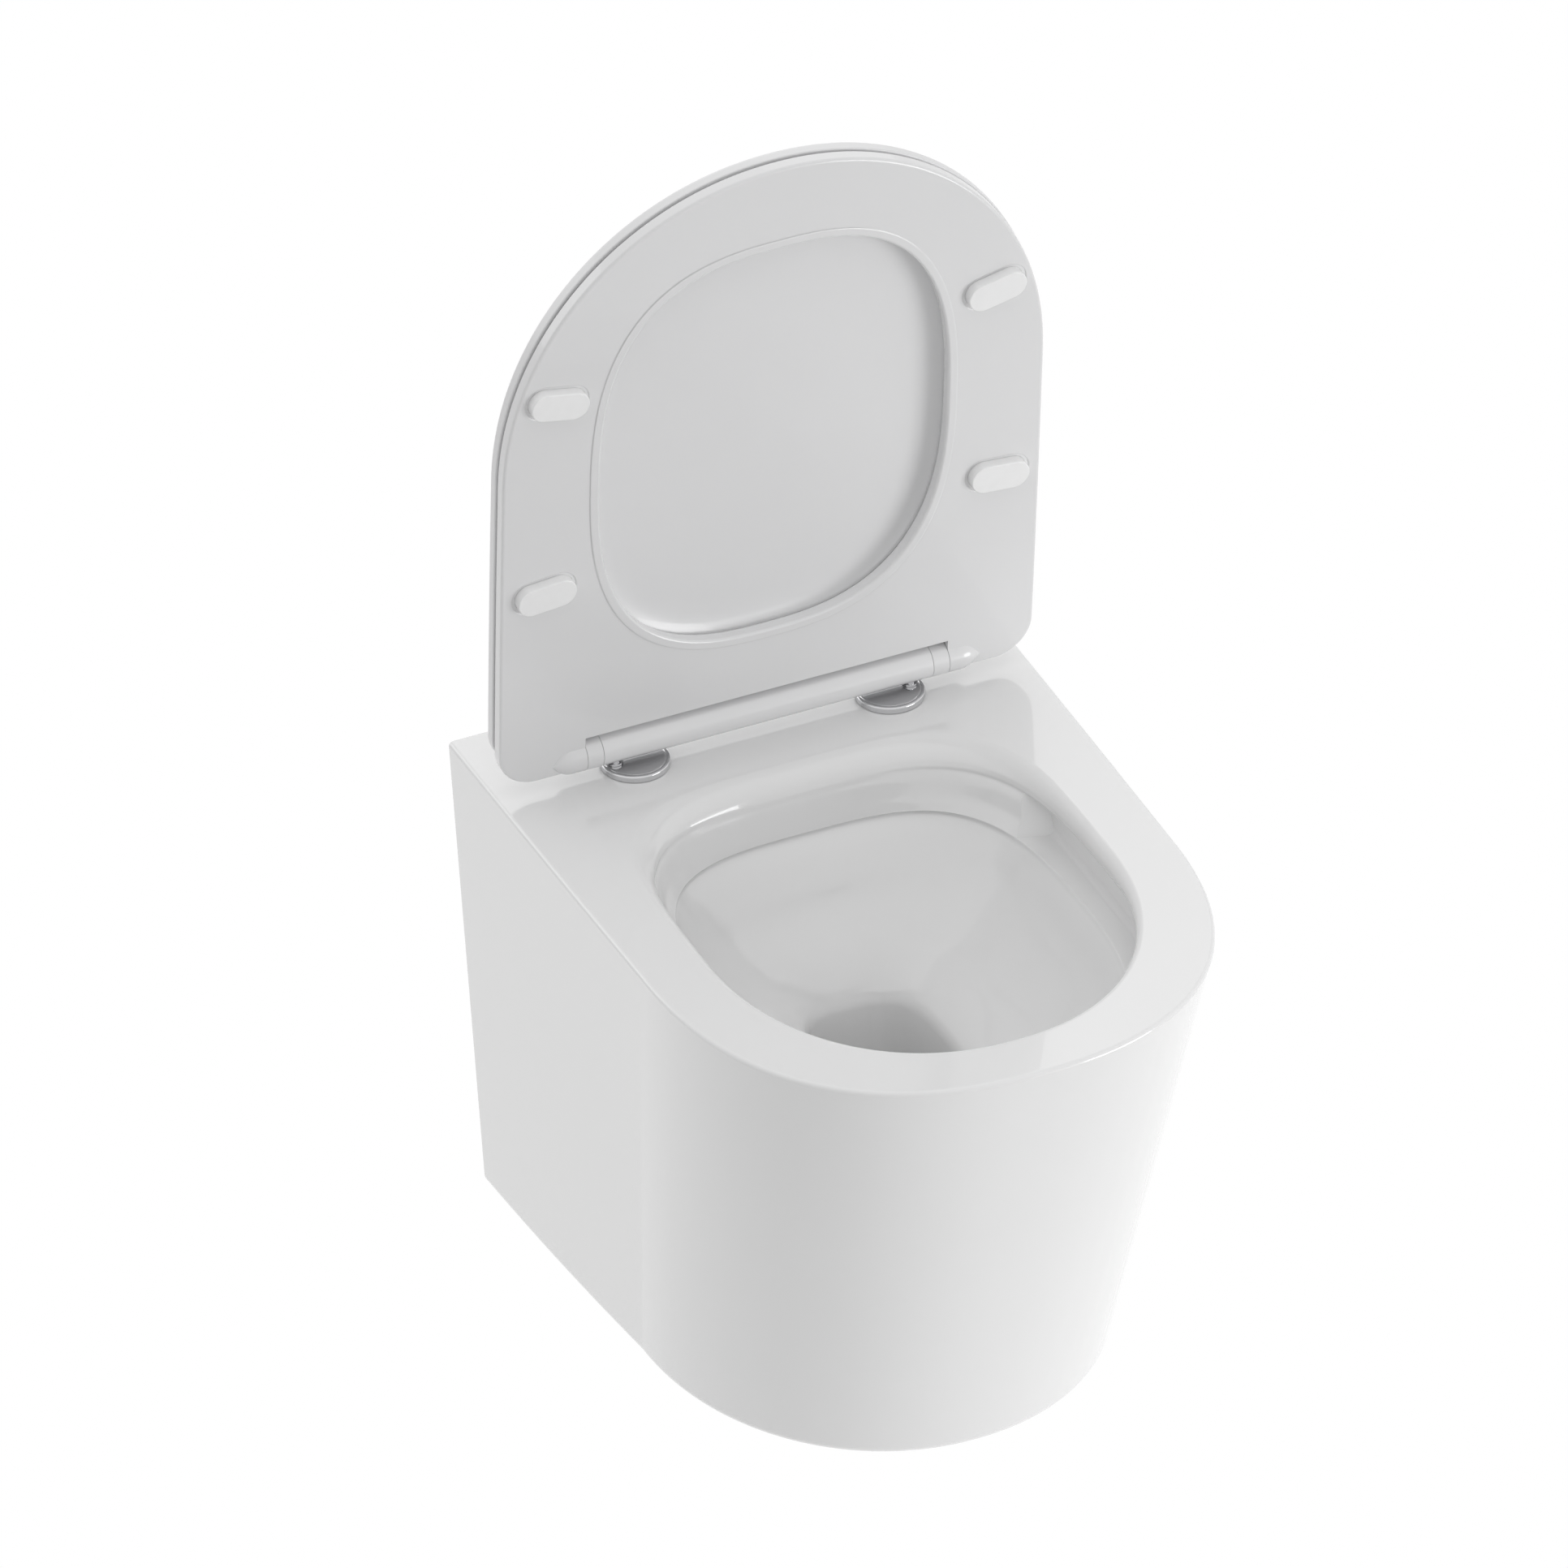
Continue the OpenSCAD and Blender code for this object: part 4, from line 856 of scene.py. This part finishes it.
def add_floor():
    corners = [(x * FLOOR_HALF, y * FLOOR_HALF, FLOOR_Z)
               for x, y in ((-1, -1), (1, -1), (1, 1), (-1, 1))]
    me = bpy.data.meshes.new("floor")
    me.from_pydata(corners, [], [(0, 1, 2, 3)])
    ob = bpy.data.objects.new("floor", me)
    bpy.context.scene.collection.objects.link(ob)
    mat = bpy.data.materials.new("floor")
    white_for_camera(mat, FLOOR_TONE)
    me.materials.append(mat)


# the dome's strength where it is brightest, the way there, and the cosine from there where it is dark
SKY, SKY_AXIS, SKY_DARK = 1.16, (-0.1, 0.0, 1.0), -0.2


def add_world():
    """White to the camera and in reflections; to the object a dome that is brightest overhead."""
    world = bpy.data.worlds.new("studio")
    bpy.context.scene.world = world
    world.use_nodes = True
    nodes, links = world.node_tree.nodes, world.node_tree.links
    nodes.clear()
    out = nodes.new("ShaderNodeOutputWorld")
    mixer = nodes.new("ShaderNodeMixShader")
    seen = nodes.new("ShaderNodeBackground")
    seen.inputs["Color"].default_value = (1, 1, 1, 1)
    fill = nodes.new("ShaderNodeBackground")
    coords = nodes.new("ShaderNodeTexCoord")
    along = nodes.new("ShaderNodeVectorMath")
    along.operation = "DOT_PRODUCT"
    along.inputs[1].default_value = Vector(SKY_AXIS).normalized()
    level = nodes.new("ShaderNodeMapRange")
    level.inputs["From Min"].default_value = SKY_DARK
    level.inputs["From Max"].default_value = 1.0
    level.inputs["To Min"].default_value = 0.0
    level.inputs["To Max"].default_value = SKY
    links.new(coords.outputs["Generated"], along.inputs[0])
    links.new(along.outputs["Value"], level.inputs["Value"])
    links.new(level.outputs["Result"], fill.inputs["Color"])
    links.new(seen_directly(nodes, links), mixer.inputs["Fac"])
    links.new(fill.outputs["Background"], mixer.inputs[1])
    links.new(seen.outputs["Background"], mixer.inputs[2])
    links.new(mixer.outputs["Shader"], out.inputs["Surface"])


def add_softbox(name, where, at, size, power):
    data = bpy.data.lights.new(name, "AREA")
    data.shape = "RECTANGLE"
    data.size, data.size_y = size
    data.energy = power
    ob = bpy.data.objects.new(name, data)
    bpy.context.scene.collection.objects.link(ob)
    ob.location = where
    ob.rotation_euler = (Vector(at) - Vector(where)).to_track_quat("-Z", "Y").to_euler()


# the softboxes are turned to a point in the object: the rim, the skirt or the foot
RIM, SKIRT, FOOT = (0.0, -0.22, 0.05), (0.0, -0.22, -0.1), (0.0, -0.22, -0.25)
# name, place, aim, width and height in metres, watts
SOFTBOXES = [
    ("key", (2.0, -2.45, 0.0), SKIRT, (1.5, 1.1), 26.5),
    ("low", (1.26, -2.02, -0.3), FOOT, (1.3, 0.7), 3),
    ("back_right", (0.81, 1.58, 1.42), RIM, (1.8, 1.3), 3.4),
    ("left", (-1.30, 1.50, 0.95), RIM, (1.0, 1.0), 3.0),
]

# The photograph's view: bearing, height and roll of the camera, its scale, and AIM's pixel
AZ, EL, ROLL = math.radians(-24.43), math.radians(34.81), math.radians(-0.62)
PICTURE = 1932.0
PX_PER_M = 2020.0
AIM = Vector((0.0, -0.240, 0.020))
AIM_PX = (1083.6, 1172.75)
LENS, SENSOR = 650.0, 36.0


def add_camera():
    ahead = Vector((-math.sin(AZ) * math.cos(EL), math.cos(AZ) * math.cos(EL), -math.sin(EL)))
    right = Vector((math.cos(AZ), math.sin(AZ), 0))
    up = right.cross(ahead)
    r = right * math.cos(ROLL) + up * math.sin(ROLL)
    u = -right * math.sin(ROLL) + up * math.cos(ROLL)
    dist = LENS / SENSOR * PICTURE / PX_PER_M
    off_x, off_y = [(v - PICTURE / 2) / PX_PER_M for v in AIM_PX]
    place = AIM - ahead * dist - r * off_x + u * off_y
    data = bpy.data.cameras.new("camera")
    data.lens, data.sensor_width = LENS, SENSOR
    ob = bpy.data.objects.new("camera", data)
    bpy.context.scene.collection.objects.link(ob)
    ob.matrix_world = Matrix.Translation(place) @ Matrix((r, u, -ahead)).transposed().to_4x4()
    bpy.context.scene.camera = ob


add_floor()
add_world()
for softbox in SOFTBOXES:
    add_softbox(*softbox)
add_camera()
bpy.context.scene.view_settings.view_transform = "Standard"
